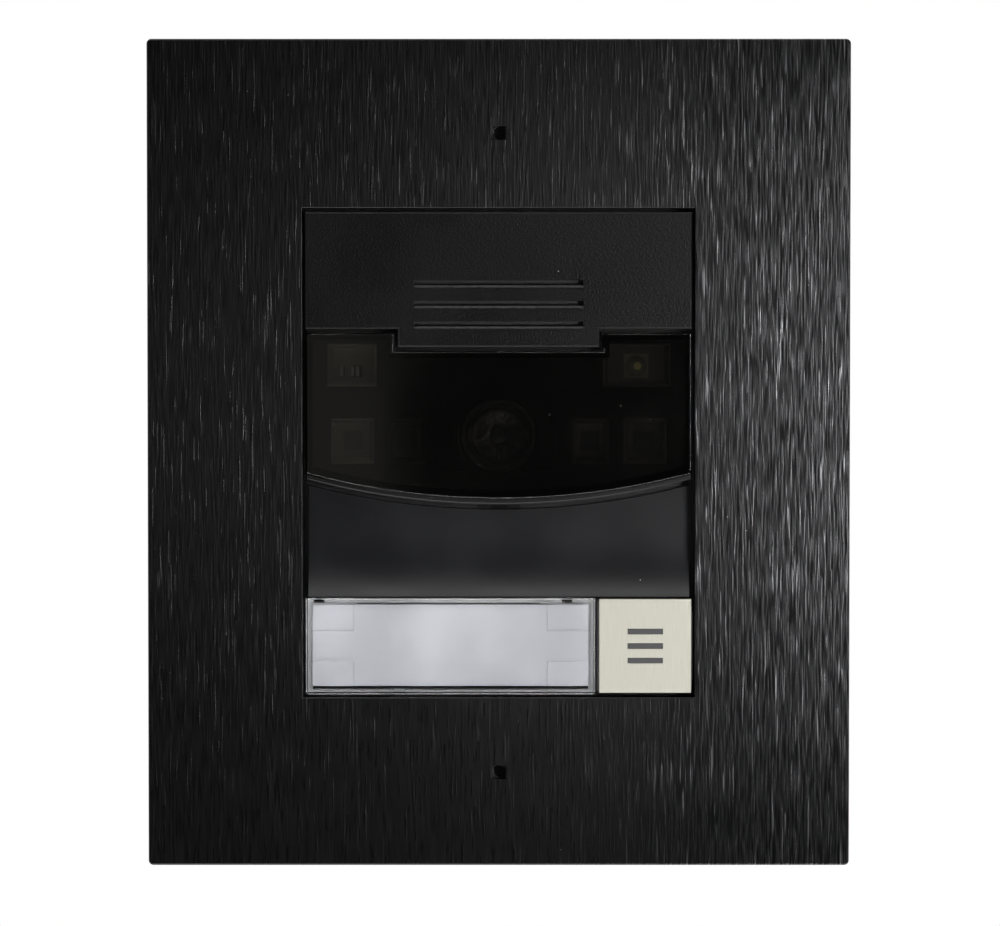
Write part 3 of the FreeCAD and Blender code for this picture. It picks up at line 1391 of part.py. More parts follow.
def lower_cover():
    """Scooped cover: flat under the window, curving out to the name plate's level at its foot."""
    body = new_body("lower_cover")
    wide = f"{MODULE_WIDE} - 2 * scoop_inset"
    reach, drop = "scoop_out_at - scoop_at", "scoop_turn - scoop_low"
    radius = f"-{arc_radius(drop, reach)}"
    top = "window_low"
    side = new_sketch(body, "side", role="YZ_Plane")
    outline(
        side,
        [
            ("-front_at", top),
            ("-scoop_at", top),
            ("-scoop_at", "scoop_turn", radius),
            ("-scoop_out_at", "scoop_low"),
            ("-front_at", "scoop_low"),
        ],
    )
    pad(side, wide, both_ways=True)
    room = new_sketch(body, "room", role="YZ_Plane")
    rear = "-scoop_at + scoop_skin"
    foot = "scoop_low + scoop_cheek"
    outline(
        room,
        [
            ("-front_at + past", "window_low + past"),
            (rear, "window_low + past"),
            (rear, "scoop_turn - 1.5"),
            ("-scoop_out_at + scoop_skin + 0.6", foot),
            ("-front_at + past", foot),
        ],
    )
    cut(room, f"{wide} - 2 * scoop_cheek", both_ways=True)
    brow = new_sketch(body, "brow", at="scoop_out_at")
    edge = f"({MODULE_WIDE}) / 2"
    low = "window_low - lip_high - scoop_gap"
    lip = f"{arc_radius(edge, 'window_sag')} + lip_high + scoop_gap"
    outline(
        brow,
        [
            (f"-({edge})", low, lip),
            (edge, low),
            (edge, "window_low + past"),
            (f"-({edge})", "window_low + past"),
        ],
    )
    cut(brow, "scoop_out_at - front_at")


def microphone():
    """Capsule in its rubber boot, behind the gap under the window's lip."""
    lip_rear = "front_at - boot_lip"
    body = lathe(
        "microphone_boot", "0", "mic_z",
        [
            ("mic_radius * mouth_share", "front_at"),
            ("mic_radius * mouth_share", lip_rear),
            ("mic_radius", lip_rear),
            ("mic_radius", "front_at - boot_long"),
            ("boot_radius", "front_at - boot_long"),
            ("boot_radius", "front_at"),
        ],
    )
    lathe(
        "microphone", "0", "mic_z",
        [
            ("0", lip_rear),
            ("0", f"{lip_rear} - mic_long"),
            ("mic_radius - glass_fit", f"{lip_rear} - mic_long"),
            ("mic_radius - glass_fit", lip_rear),
        ],
    )
    return body


# ---- name plate ---------------------------------------------------------------------------------


def nameplate():
    """Clear cover, paper label and the light guide that the cover clips to."""
    cover = new_body("nameplate_cover")
    shell = new_sketch(cover, "shell", at="plate_foot_at")
    rectangle(shell, "plate_wide", "plate_high", PLATE_X, PLATE_Z)
    pad(shell, "plate_at - plate_foot_at")
    ease(cover, "Fillet", "plate_edge", on_front("plate_at"))
    room = new_sketch(cover, "room", at="plate_foot_at")
    room_wide, room_high = "plate_wide - 2 * plate_wall", "plate_high - 2 * plate_wall"
    rectangle(room, room_wide, room_high, PLATE_X, PLATE_Z)
    cut(room, "plate_at - plate_skin - plate_foot_at", forward=True)
    label_at = "guide_at + label_gap + label_thick"
    for name, across, up in (
        ("pad_a", "-1", "-1"),
        ("pad_b", "1", "-1"),
        ("pad_c", "1", "1"),
        ("pad_d", "-1", "1"),
    ):
        block = new_sketch(cover, name, at=f"{label_at} + pad_gap")
        x = f"{PLATE_X} + {across} * ({room_wide} - plate_pad_wide) / 2"
        z = f"{PLATE_Z} + {up} * ({room_high} - plate_pad_high) / 2"
        rectangle(block, "plate_pad_wide", "plate_pad_high", x, z)
        pad(block, f"plate_at - plate_skin - pad_gap - ({label_at})")
    notch = new_sketch(cover, "pry_notch", at="plate_foot_at")
    rectangle(notch, "pry_wide", "plate_wall * 2", "pry_x", f"{PLATE_Z} - plate_high / 2")
    cut(notch, "plate_at - plate_skin - plate_foot_at", forward=True)
    clip_z = "row_top - plate_wall / 2"
    for name, x in (("left_clip", "clip_left_x"), ("right_clip", "clip_right_x")):
        clip = new_sketch(cover, name, at="clip_tip_at")
        rectangle(clip, "clip_wide", "clip_thick", x, clip_z)
        pad(clip, "plate_foot_at - clip_tip_at")

    guide = new_body("light_guide")
    base = new_sketch(guide, "base", at="front_at")
    base_wide, base_high = "plate_wide - 2 * base_inset", "plate_high - 2 * base_inset"
    rectangle(base, base_wide, base_high, PLATE_X, PLATE_Z)
    pad(base, "base_at - front_at")
    table = new_sketch(guide, "table", at="base_at")
    table_wide = f"{room_wide} - 2 * guide_gap"
    table_high = f"{room_high} - 2 * guide_gap - guide_short"
    table_z = f"{PLATE_Z} + guide_short / 2"
    rectangle(table, table_wide, table_high, PLATE_X, table_z)
    pad(table, "guide_at - base_at")
    through = "base_at - front_at"
    for name, long, high, x, z in (
        ("top_slit", "slit_long", "guide_gap", "slit_x", "row_top - plate_wall - guide_gap / 2"),
        (
            "foot_slit", table_wide, "foot_slit_high", PLATE_X,
            "row_top - plate_high + plate_wall + foot_slit_high / 2",
        ),
        ("left_window", "clip_wide + 2 * clip_gap", "plate_wall", "clip_left_x", clip_z),
        ("right_window", "clip_wide + 2 * clip_gap", "plate_wall", "clip_right_x", clip_z),
    ):
        opening = new_sketch(guide, name, at="base_at")
        rectangle(opening, long, high, x, z)
        cut(opening, through)

    label = new_body("name_label")
    paper = new_sketch(label, "paper", at="guide_at + label_gap")
    rectangle(paper, table_wide, table_high, PLATE_X, table_z)
    pad(paper, "label_thick")


# ---- call button --------------------------------------------------------------------------------


def button_bars(sketch, gap):
    """Draws the key's three bars, each larger by the gap all round."""
    for index in range(int(amount("bar_count"))):
        z = f"{BUTTON_Z} + ({index} - (bar_count - 1) / 2) * bar_pitch"
        rectangle(sketch, f"bar_long + 2 * ({gap})", f"bar_high + 2 * ({gap})", BUTTON_X, z)
    return sketch


def button():
    """Metal key face on a translucent carrier. The carrier's bars fill the slots of the face."""
    face = new_body("button_face")
    sheet = new_sketch(face, "sheet", at=CARRIER_FRONT_AT)
    rectangle(sheet, "button_wide", "button_high", BUTTON_X, BUTTON_Z)
    pad(sheet, "button_thick")
    ease(face, "Fillet", "button_edge", on_front("cover_at"))
    slots = new_sketch(face, "slots", at="cover_at")
    button_bars(slots, "bar_gap")
    cut(slots, "button_thick")

    carrier = new_body("button_carrier")
    block = new_sketch(carrier, "block", at="carrier_at")
    left = f"{BUTTON_X} - button_wide / 2 - carrier_left"
    right = f"{BUTTON_X} + button_wide / 2 - carrier_inset"
    low = f"{BUTTON_Z} - button_high / 2 + carrier_inset"
    top = f"{BUTTON_Z} + button_high / 2 - carrier_inset"
    outline(block, [(left, low), (right, low), (right, top), (left, top)])
    pad(block, f"{CARRIER_FRONT_AT} - carrier_at")
    rib = new_sketch(carrier, "rib", at="carrier_at")
    rectangle(rib, "2 * rib_proud", "rib_long", right, BUTTON_Z)
    pad(rib, f"{CARRIER_FRONT_AT} - carrier_at - rib_low")
    bars = new_sketch(carrier, "bars", at=f"{CARRIER_FRONT_AT} - bar_root")
    button_bars(bars, "0")
    pad(bars, "button_thick + bar_root - bar_sunk")
    stem = new_sketch(carrier, "stem", at=f"{SWITCH_FRONT_AT} + plunger_long - travel - stem_rest")
    circle(stem, "stem_radius", BUTTON_X, BUTTON_Z)
    pad(stem, f"carrier_at + root - ({SWITCH_FRONT_AT}) - plunger_long + travel + stem_rest")
    for name, side in (("left_hook", "-1"), ("right_hook", "1")):
        arm = new_sketch(carrier, name, at="flange_at - hook_gap - barb_high")
        x = f"{BUTTON_X} + {side} * (well_wide / 2 - hook_gap - hook_thick / 2)"
        rectangle(arm, "hook_thick", "hook_wide", x, BUTTON_Z)
        pad(arm, "carrier_at - flange_at + hook_gap + barb_high + root")
        barb = new_sketch(carrier, f"{name}_barb", at="flange_at - hook_gap - barb_high")
        reach = "barb + hook_thick"
        x = f"{BUTTON_X} + {side} * (well_wide / 2 - hook_gap - hook_thick + ({reach}) / 2)"
        rectangle(barb, reach, "hook_wide", x, BUTTON_Z)
        pad(barb, "barb_high")


def key_board():
    """Board behind the bottom row: push switch, name plate lamps and the header to the main board."""
    board = new_body("key_board")
    sheet = new_sketch(board, "sheet", at="key_board_at - key_board_thick")
    rectangle(sheet, "key_board_wide", "key_board_high", y=BUTTON_Z)
    pad(sheet, "key_board_thick")

    shell = new_body("push_switch")
    block = new_sketch(shell, "block", at="key_board_at")
    rectangle(block, "switch_side", "switch_side", BUTTON_X, BUTTON_Z)
    pad(block, "switch_high")
    bore = new_sketch(shell, "bore", at=SWITCH_FRONT_AT)
    circle(bore, "plunger_radius + plunger_gap", BUTTON_X, BUTTON_Z)
    cut(bore, "switch_high - 0.4")

    plunger_front = f"{SWITCH_FRONT_AT} + plunger_long - travel - 0.4"
    plunger = f"{plunger_front} - plunger_long"
    lathe(
        "push_plunger", BUTTON_X, BUTTON_Z,
        [
            ("0", plunger_front),
            ("0", plunger),
            ("plunger_radius", plunger),
            ("plunger_radius", plunger_front),
        ],
    )

    lamps = new_body("label_lamps")
    lamp = new_sketch(lamps, "lamp", at="key_board_at")
    first = f"{PLATE_X} - glow_pitch * (glow_count - 1) / 2"
    rectangle(lamp, "glow_wide", "glow_high", first, PLATE_Z)
    repeat(pad(lamp, "glow_thick"), "X_Axis", "glow_pitch", "glow_count")

    link = new_body("board_link")
    block = new_sketch(link, "block", at="board_at")
    rectangle(block, "link_wide", "link_high", "link_x", "link_z")
    pad(block, "key_board_at - key_board_thick - board_at")


# ---- main board ---------------------------------------------------------------------------------


def slab(label, x, z, wide, high, rear_at, thick):
    """A plain rectangular part of a board."""
    body = new_body(label)
    sheet = new_sketch(body, "sheet", at=rear_at)
    rectangle(sheet, wide, high, x, z)
    pad(sheet, thick)
    return body


def main_board():
    """Main board with its four screw holes, and the parts on its front."""
    body = new_body("main_board")
    sheet = new_sketch(body, "sheet", at=BOARD_REAR_AT)
    round_rectangle(
        sheet, "case_wide - 2 * case_wall - board_gap", "case_high - 2 * case_wall - board_gap",
        "case_corner - case_wall",
    )
    pad(sheet, "board_thick")
    holes = new_sketch(body, "holes", at="board_at")
    circles(holes, "case_screw_radius + screw_clearance", "boss_x", "boss_z")
    cut(holes, "board_thick")
    slab("processor", "chip_x", "chip_z", "chip_side", "chip_side", "board_at", "chip_high_up")
    slab(
        "heat_spreader", "chip_x", "chip_z", "sink_side", "sink_side",
        "board_at + chip_high_up", "sink_thick",
    )
    slab("lock_relay", "relay_x", "relay_z", "relay_wide", "relay_high", "board_at", "relay_thick")
    cans = lathe(
        "capacitors", "can_x", "can_z",
        [
            ("0", "board_at + can_long"),
            ("0", "board_at"),
            ("can_radius", "board_at"),
            ("can_radius", "board_at + can_long - 0.3"),
            ("can_radius - 0.3", "board_at + can_long"),
        ],
    )
    DOC.recompute()
    row = cans.newObject("PartDesign::LinearPattern", "capacitor_row")
    row.TransformMode = "Whole shape"
    row.Direction = (datum(cans, "X_Axis"), [""])
    row.setExpression("Length", bound("can_pitch * (can_count - 1)"))
    row.setExpression("Occurrences", bound("can_count"))
    cans.Tip = row


def network_jack():
    """Network socket behind the board, open downward, with its eight contacts."""
    body = new_body("network_jack")
    shell = new_sketch(body, "shell", at=f"{BOARD_REAR_AT} - jack_deep")
    rectangle(shell, "jack_wide", "jack_long", "jack_x", "jack_mouth + jack_long / 2")
    pad(shell, "jack_deep")
    socket_y = f"-({BOARD_REAR_AT}) + jack_deep - jack_skin - jack_hole_deep / 2"
    socket = new_sketch(body, "socket", at="jack_mouth", role="XY_Plane")
    rectangle(socket, "jack_hole_wide", "jack_hole_deep", "jack_x", socket_y)
    cut(socket, "jack_hole_long", forward=True)
    latch = new_sketch(body, "latch", at="jack_mouth", role="XY_Plane")
    latch_y = f"-({BOARD_REAR_AT}) + jack_deep - jack_skin - jack_hole_deep"
    rectangle(latch, "6.2", "2.4", "jack_x", latch_y)
    cut(latch, "4", forward=True)

    contacts = new_body("jack_contacts")
    blade = new_sketch(contacts, "blade", at="jack_mouth + 4", role="XY_Plane")
    first = "jack_x - contact_pitch * (contact_count - 1) / 2"
    wall = f"-({BOARD_REAR_AT}) + jack_deep - jack_skin"
    rectangle(blade, "contact_wide", "contact_high", first, f"{wall} - contact_high / 2")
    repeat(pad(blade, "9"), "X_Axis", "contact_pitch", "contact_count")


def terminal_block():
    """Terminal header on the board and the plug that pulls out of it downward, with clamp screws."""
    wide = "pole_pitch * pole_count + 2 * header_wall"
    header = new_body("terminal_header")
    shell = new_sketch(header, "shell", at=f"{BOARD_REAR_AT} - header_deep")
    rectangle(shell, wide, "header_long", "header_x", "header_mouth + header_long / 2")
    pad(shell, "header_deep")
    middle_y = f"-({BOARD_REAR_AT}) + header_deep / 2"
    socket = new_sketch(header, "socket", at="header_mouth", role="XY_Plane")
    rectangle(
        socket, "pole_pitch * pole_count", "header_deep - 2 * header_wall", "header_x", middle_y,
    )
    cut(socket, "plug_in + 0.4", forward=True)

    plug = new_body("terminal_plug")
    nose = new_sketch(plug, "nose", at="header_mouth", role="XY_Plane")
    rectangle(
        nose, "pole_pitch * pole_count - 2 * plug_gap",
        "header_deep - 2 * header_wall - 2 * plug_gap", "header_x", middle_y,
    )
    pad(nose, "plug_in")
    grip = new_sketch(plug, "grip", at="header_mouth - plug_long", role="XY_Plane")
    grip_y = f"-({BOARD_REAR_AT}) + 1 + plug_deep / 2"
    rectangle(grip, wide, "plug_deep", "header_x", grip_y)
    pad(grip, "plug_long")
    first = "header_x - pole_pitch * (pole_count - 1) / 2"
    entry = new_sketch(plug, "entry", at="header_mouth - plug_long", role="XY_Plane")
    circle(entry, "wire_hole", first, grip_y)
    repeat(cut(entry, "plug_long - 2", forward=True), "X_Axis", "pole_pitch", "pole_count")
    clamp = new_sketch(plug, "clamp", at=f"{BOARD_REAR_AT} - 1 - plug_deep")
    clamp_z = "header_mouth - plug_long / 2"
    circle(clamp, "clamp_radius + 0.1", first, clamp_z)
    repeat(cut(clamp, "clamp_long + 0.5", forward=True), "X_Axis", "pole_pitch", "pole_count")

    screws = new_body("clamp_screws")
    head = new_sketch(screws, "head", at=f"{BOARD_REAR_AT} - 0.5 - plug_deep")
    circle(head, "clamp_radius", first, clamp_z)
    first_screw = pad(head, "clamp_long")
    slot = new_sketch(screws, "slot", at=f"{BOARD_REAR_AT} - 0.5 - plug_deep")
    rectangle(slot, "0.5", "2 * clamp_radius", first, clamp_z)
    first_slot = cut(slot, "0.6", forward=True)
    row = repeat(first_screw, "X_Axis", "pole_pitch", "pole_count")
    row.Originals = [first_screw, first_slot]
    DOC.recompute()


def reset_button():
    """Small reset switch on the board's back and its plunger."""
    body = slab(
        "reset_switch", "reset_x", "reset_z", "reset_side", "reset_side",
        f"{BOARD_REAR_AT} - reset_high", "reset_high",
    )
    bore = new_sketch(body, "bore", at=f"{BOARD_REAR_AT} - reset_high")
    circle(bore, "reset_radius + plunger_gap", "reset_x", "reset_z")
    cut(bore, "reset_high - 0.4", forward=True)
    tip = f"{BOARD_REAR_AT} - reset_high - reset_out"
    lathe(
        "reset_plunger", "reset_x", "reset_z",
        [
            ("0", tip),
            ("reset_radius", tip),
            ("reset_radius", f"{tip} + reset_long"),
            ("0", f"{tip} + reset_long"),
        ],
    )


def fasteners():
    """Screws and inserts, each kind in one node."""
    bezel_screws()
    insert("bezel_inserts", "0", "keyhole_up", "boss_at", ["XY_Plane"])
    insert("pillar_inserts", "pillar_x", "pillar_z", FLANGE_REAR_AT, ["YZ_Plane", "XY_Plane"])
    body = screw(
        "unit_screws", "pillar_x", "pillar_z", "flange_at", "unit_screw_radius",
        "unit_head_radius", "unit_head_high", "unit_screw_long",
    )
    cross_recess(body, "pillar_x", "pillar_z", "flange_at + unit_head_high", "unit_head_high")
    mirror_four(body)
    body = screw(
        "case_screws", "boss_x", "boss_z", "case_rear_at + case_head_high + 0.2", "case_screw_radius",
        "case_head_radius", "case_head_high", "case_screw_long", facing=-1,
    )
    cross_recess(body, "boss_x", "boss_z", "case_rear_at + 0.2", "case_head_high", forward=True)
    mirror_four(body)


def cross_recess(body, x, z, at, head_high, forward=False):
    """Cross recess in a screw head."""
    for name, wide, high in (("across", "2.4", "0.7"), ("upright", "0.7", "2.4")):
        slot = new_sketch(body, name, at=at)
        rectangle(slot, wide, high, x, z)
        cut(slot, f"({head_high}) * 0.55", forward=forward)


def export():
    """Checks every object and writes one STEP file for each sub-part."""
    DOC.recompute()
    failed = [o.Name for o in DOC.Objects if "Invalid" in o.State or "Error" in o.State]
    if failed:
        raise ValueError(f"these objects failed: {failed}")
    os.makedirs("parts", exist_ok=True)
    for part in PARTS:
        shape = part.Shape
        if shape.isNull() or not shape.isValid() or not shape.Solids:
            raise ValueError(f"{part.Label} has no valid solid")
        shape.exportStep(f"parts/{part.Label}.step")
        print(f"{part.Label}: {len(shape.Solids)} solid(s), {shape.Volume:.1f} mm3")


fill_sheet()
bezel_plate()
bezel_bridges()
bezel_seal()
wall_box()
chassis()
case_seal()
rear_case()
upper_cover()
speaker_mesh()
speaker()
speaker_leads()
camera_window()
window_tape()
light_baffle()
light_board()
light_sources()
camera()
lower_cover()
microphone()
nameplate()
button()
key_board()
main_board()
network_jack()
terminal_block()
reset_button()
fasteners()
export()
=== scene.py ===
"""Looks for a flush-mounted video doorbell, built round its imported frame.

The frame holds the object's pieces at their real size: X to the visitor's right, Z up, and the
front facing -Y, in metres, with the origin in the middle of the cover frame on the wall surface.
Each sub-assembly below is a class: its dataclass fields are its sizes in millimetres, build()
models what the frame leaves plain, and dress() gives every piece its finish.
"""

import json
import logging
import math
from collections.abc import Callable, Iterable, Sequence
from dataclasses import dataclass, field
from enum import Enum
from typing import Any

import bpy
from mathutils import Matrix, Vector


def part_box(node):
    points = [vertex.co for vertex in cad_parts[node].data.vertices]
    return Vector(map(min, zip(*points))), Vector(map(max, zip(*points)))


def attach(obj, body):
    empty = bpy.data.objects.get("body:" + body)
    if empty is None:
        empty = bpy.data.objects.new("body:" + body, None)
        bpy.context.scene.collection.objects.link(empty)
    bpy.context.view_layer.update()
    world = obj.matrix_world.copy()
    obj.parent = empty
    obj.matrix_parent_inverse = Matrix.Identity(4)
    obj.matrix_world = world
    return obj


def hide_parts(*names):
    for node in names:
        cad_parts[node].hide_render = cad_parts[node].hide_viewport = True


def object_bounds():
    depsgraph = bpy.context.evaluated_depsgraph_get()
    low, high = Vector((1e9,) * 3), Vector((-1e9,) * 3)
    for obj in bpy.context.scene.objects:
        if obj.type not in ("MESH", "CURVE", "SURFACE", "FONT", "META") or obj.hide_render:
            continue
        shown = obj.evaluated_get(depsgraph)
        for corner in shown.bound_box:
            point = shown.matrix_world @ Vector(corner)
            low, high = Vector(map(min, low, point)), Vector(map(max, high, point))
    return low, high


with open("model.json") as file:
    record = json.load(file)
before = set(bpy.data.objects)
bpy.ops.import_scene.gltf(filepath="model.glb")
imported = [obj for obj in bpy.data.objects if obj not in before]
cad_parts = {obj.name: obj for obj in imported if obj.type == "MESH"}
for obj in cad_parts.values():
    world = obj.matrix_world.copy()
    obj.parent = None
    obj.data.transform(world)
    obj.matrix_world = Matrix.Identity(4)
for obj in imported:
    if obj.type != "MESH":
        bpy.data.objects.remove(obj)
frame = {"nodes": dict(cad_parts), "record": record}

CAD_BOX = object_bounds()
MM = 0.001
FACING = 0.9
LOG = logging.getLogger("doorbell")

Colour = tuple[float, float, float]
FaceTest = Callable[[Vector, Vector], bool]


class Body(Enum):
    """The rigid bodies that pieces ride on."""

    UNIT = "unit"
    CALL_BUTTON = "call_button"
    SWITCH_PLUNGER = "switch_plunger"
    RESET_PLUNGER = "reset_plunger"
    NAMEPLATE = "nameplate"
    SPEAKER_CONE = "speaker_cone"
    WIRING_PLUG = "wiring_plug"


# ---- modelling helpers --------------------------------------------------------------------------


def deselect() -> None:
    """Leaves object mode clean, with nothing selected."""
    if bpy.context.object and bpy.context.object.mode != "OBJECT":
        bpy.ops.object.mode_set(mode="OBJECT")
    bpy.ops.object.select_all(action="DESELECT")


def take(piece: bpy.types.Object) -> None:
    """Makes a piece the only selected one, and the active one."""
    deselect()
    piece.select_set(True)
    bpy.context.view_layer.objects.active = piece


def settle(piece: bpy.types.Object, name: str) -> bpy.types.Object:
    """Names a new piece and moves its place, turn and scale into its mesh.

    Args:
        piece: The object that an operator has just added.
        name: Its name in the scene.

    Returns:
        The same object, at the origin.
    """
    piece.name = name
    piece.data.name = name
    take(piece)
    bpy.ops.object.transform_apply(location=True, rotation=True, scale=True)
    return piece


def slab(name: str, low: Sequence[float], high: Sequence[float]) -> bpy.types.Object:
    """Adds a box between two corners, as a start for a moulded or cut piece.

    Args:
        name: Name of the piece.
        low: Lowest corner, in millimetres.
        high: Highest corner, in millimetres.

    Returns:
        The new piece.
    """
    deselect()
    middle = [(a + b) / 2 * MM for a, b in zip(low, high)]
    bpy.ops.mesh.primitive_cube_add(size=1, location=middle)
    piece = bpy.context.object
    piece.scale = [(b - a) * MM for a, b in zip(low, high)]
    return settle(piece, name)


def disc(name: str, x: float, z: float, front: float, depth: float, radius: float,
         sides: int = 48) -> bpy.types.Object:
    """Adds a round bar along Y, as a start for a turned piece.

    Args:
        name: Name of the piece.
        x: Place across, in millimetres.
        z: Place up, in millimetres.
        front: Y of its front end, in millimetres.
        depth: Its length along Y, in millimetres.
        radius: Its radius, in millimetres.
        sides: How many flats stand for the round.

    Returns:
        The new piece.
    """
    deselect()
    bpy.ops.mesh.primitive_cylinder_add(
        vertices=sides, radius=radius * MM, depth=depth * MM,
        location=(x * MM, (front + depth / 2) * MM, z * MM), rotation=(math.pi / 2, 0, 0),
    )
    return settle(bpy.context.object, name)


def pick_faces(piece: bpy.types.Object, wanted: FaceTest) -> int:
    """Selects the faces for which wanted(centre in mm, normal) holds, in face mode.

    Args:
        piece: The piece to work on. It is left in edit mode.
        wanted: Test of a face's centre and normal.

    Returns:
        How many faces are selected.
    """
    take(piece)
    bpy.ops.object.mode_set(mode="EDIT")
    bpy.ops.mesh.select_mode(type="FACE")
    bpy.ops.mesh.select_all(action="DESELECT")
    bpy.ops.object.mode_set(mode="OBJECT")
    count = 0
    for face in piece.data.polygons:
        face.select = wanted(face.center / MM, face.normal)
        count += face.select
    bpy.ops.object.mode_set(mode="EDIT")
    return count


def faces_front(_middle: Vector, normal: Vector) -> bool:
    """Whether a face looks out of the wall."""
    return normal.y < -FACING


def inset(by: float) -> None:
    """Insets the selected faces by so many millimetres."""
    bpy.ops.mesh.inset(thickness=by * MM, depth=0)


def push(x: float = 0.0, y: float = 0.0, z: float = 0.0) -> None:
    """Extrudes the selected faces and moves the new ones by so many millimetres."""
    bpy.ops.mesh.extrude_region_move(TRANSFORM_OT_translate={"value": (x * MM, y * MM, z * MM)})


def shrink(by: float, middle: Vector, along: tuple[float, float, float] = (1, 0, 1)) -> None:
    """Scales what is selected about a point.

    Args:
        by: Scale factor.
        middle: The point, in millimetres.
        along: 1 for each axis that scales, 0 for each that stays.
    """
    value = tuple(1 + (by - 1) * axis for axis in along)
    bpy.ops.transform.resize(value=value, center_override=tuple(middle * MM))


def close_edit() -> None:
    """Goes back to object mode."""
    bpy.ops.object.mode_set(mode="OBJECT")


def raise_front(piece: bpy.types.Object, rim: float, out: float) -> None:
    """Steps the face that looks out of the wall.

    Args:
        piece: The piece.
        rim: Width of the step, in millimetres.
        out: Move of the inner face along Y, in millimetres.
    """
    pick_faces(piece, faces_front)
    inset(rim)
    push(y=out)
    close_edit()


def flatten_shading(piece: bpy.types.Object, smooth: float = 40.0) -> None:
    """Shades a piece smooth between its sharp edges and keeps its large faces flat.

    Args:
        piece: The piece.
        smooth: Greatest angle that is shaded smooth, in degrees.
    """
    take(piece)
    bpy.ops.object.shade_smooth_by_angle(angle=math.radians(smooth))
    flat = piece.modifiers.new("flat", "WEIGHTED_NORMAL")
    flat.keep_sharp = True
    flat.weight = 100
    bpy.ops.object.modifier_apply(modifier=flat.name)


def ease_edges(piece: bpy.types.Object, width: float, angle: float = 35.0, steps: int = 2,
               smooth: float = 40.0) -> bpy.types.Object:
    """Rounds a piece's sharp edges and shades it smooth between them.

    Args:
        piece: The piece.
        width: Width of the rounding, in millimetres.
        angle: Least angle between faces that counts as sharp, in degrees.
        steps: Segments of the rounding.
        smooth: Greatest angle that is shaded smooth, in degrees.

    Returns:
        The same piece.
    """
    take(piece)
    bevel = piece.modifiers.new("eased", "BEVEL")
    bevel.width = width * MM
    bevel.segments = steps
    bevel.limit_method = "ANGLE"
    bevel.angle_limit = math.radians(angle)
    bevel.use_clamp_overlap = True
    bpy.ops.object.modifier_apply(modifier=bevel.name)
    flatten_shading(piece, smooth)
    return piece


def combine(piece: bpy.types.Object, tool: bpy.types.Object, how: str) -> bpy.types.Object:
    """Joins a tool to a piece, or cuts it out, and removes the tool.

    Args:
        piece: The piece that stays.
        tool: The other one.
        how: UNION or DIFFERENCE.

    Returns:
        The piece.
    """
    take(piece)
    fuse = piece.modifiers.new("fuse", "BOOLEAN")
    fuse.operation = how
    fuse.solver = "EXACT"
    fuse.object = tool
    bpy.ops.object.modifier_apply(modifier=fuse.name)
    bpy.data.objects.remove(tool)
    return piece


def join(pieces: Sequence[bpy.types.Object], name: str) -> bpy.types.Object:
    """Makes one object of several that don't touch.

    Args:
        pieces: The objects. The first one stays.
        name: Name of the result.

    Returns:
        The joined object.
    """
    take(pieces[0])
    for piece in pieces:
        piece.select_set(True)
    bpy.ops.object.join()
    return settle(bpy.context.object, name)


def eased_node(node: str, width: float, steps: int = 2, angle: float = 35.0) -> bpy.types.Object:
    """Copies a frame node, merges its triangles to clean faces and rounds its edges.

    Args:
        node: Name of the frame node that the copy stands for.
        width: Width of the rounding, in millimetres.
        steps: Segments of the rounding.
        angle: Least angle that counts as sharp, in degrees.

    Returns:
        The finished piece, riding where the node rides.
    """
    source = frame["nodes"][node]
    piece = source.copy()
    piece.data = source.data.copy()
    piece.parent = None
    for key in [key for key in piece.keys() if key.startswith("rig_")]:
        del piece[key]
    bpy.context.scene.collection.objects.link(piece)
    settle(piece, f"{node}_eased")
    bpy.ops.object.mode_set(mode="EDIT")
    bpy.ops.mesh.select_all(action="SELECT")
    bpy.ops.mesh.remove_doubles(threshold=0.002 * MM)
    bpy.ops.mesh.customdata_custom_splitnormals_clear()
    bpy.ops.mesh.dissolve_limited(angle_limit=math.radians(0.6))
    close_edit()
    ease_edges(piece, width, angle, steps)
    stand_for(piece, node)
    return piece


def body_of(node: str) -> str:
    """The name of the body that a frame node belongs to."""
    bodies = frame["record"]["behaviour"]["bodies"]
    return next(body for body, members in bodies.items() if node in members)


def stand_for(piece: bpy.types.Object, node: str) -> bpy.types.Object:
    """Lets a piece ride on a frame node's body in place of that node, which is hidden.

    Args:
        piece: The new piece.
        node: Name of the frame node.

    Returns:
        The same piece.
    """
    LOG.info("piece %s stands for node %s", piece.name, node)
    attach(piece, body_of(node))
    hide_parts(node)
    return piece


def go_with(piece: bpy.types.Object, body: Body) -> bpy.types.Object:
    """Lets an added piece ride on a body.

    Args:
        piece: The added piece.
        body: The body it moves with.

    Returns:
        The same piece.
    """
    LOG.info("piece %s is added to body %s", piece.name, body.value)
    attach(piece, body.value)
    return piece


def paint(piece: bpy.types.Object, finish: bpy.types.Material) -> bpy.types.Object:
    """Gives the whole of a piece one material.

    Args:
        piece: The piece.
        finish: Its material.

    Returns:
        The same piece.
    """
    if not piece.material_slots:
        piece.data.materials.append(finish)
    for place in piece.material_slots:
        place.material = finish
    return piece


def paint_nodes(finish: bpy.types.Material, *nodes: str) -> None:
    """Gives one material to frame nodes that are shown as they are.

    Args:
        finish: The material.
        *nodes: Names of the nodes.
    """
    for node in nodes:
        paint(frame["nodes"][node], finish)
        LOG.info("node %s has finish %s", node, finish.name)


# ---- node graphs --------------------------------------------------------------------------------


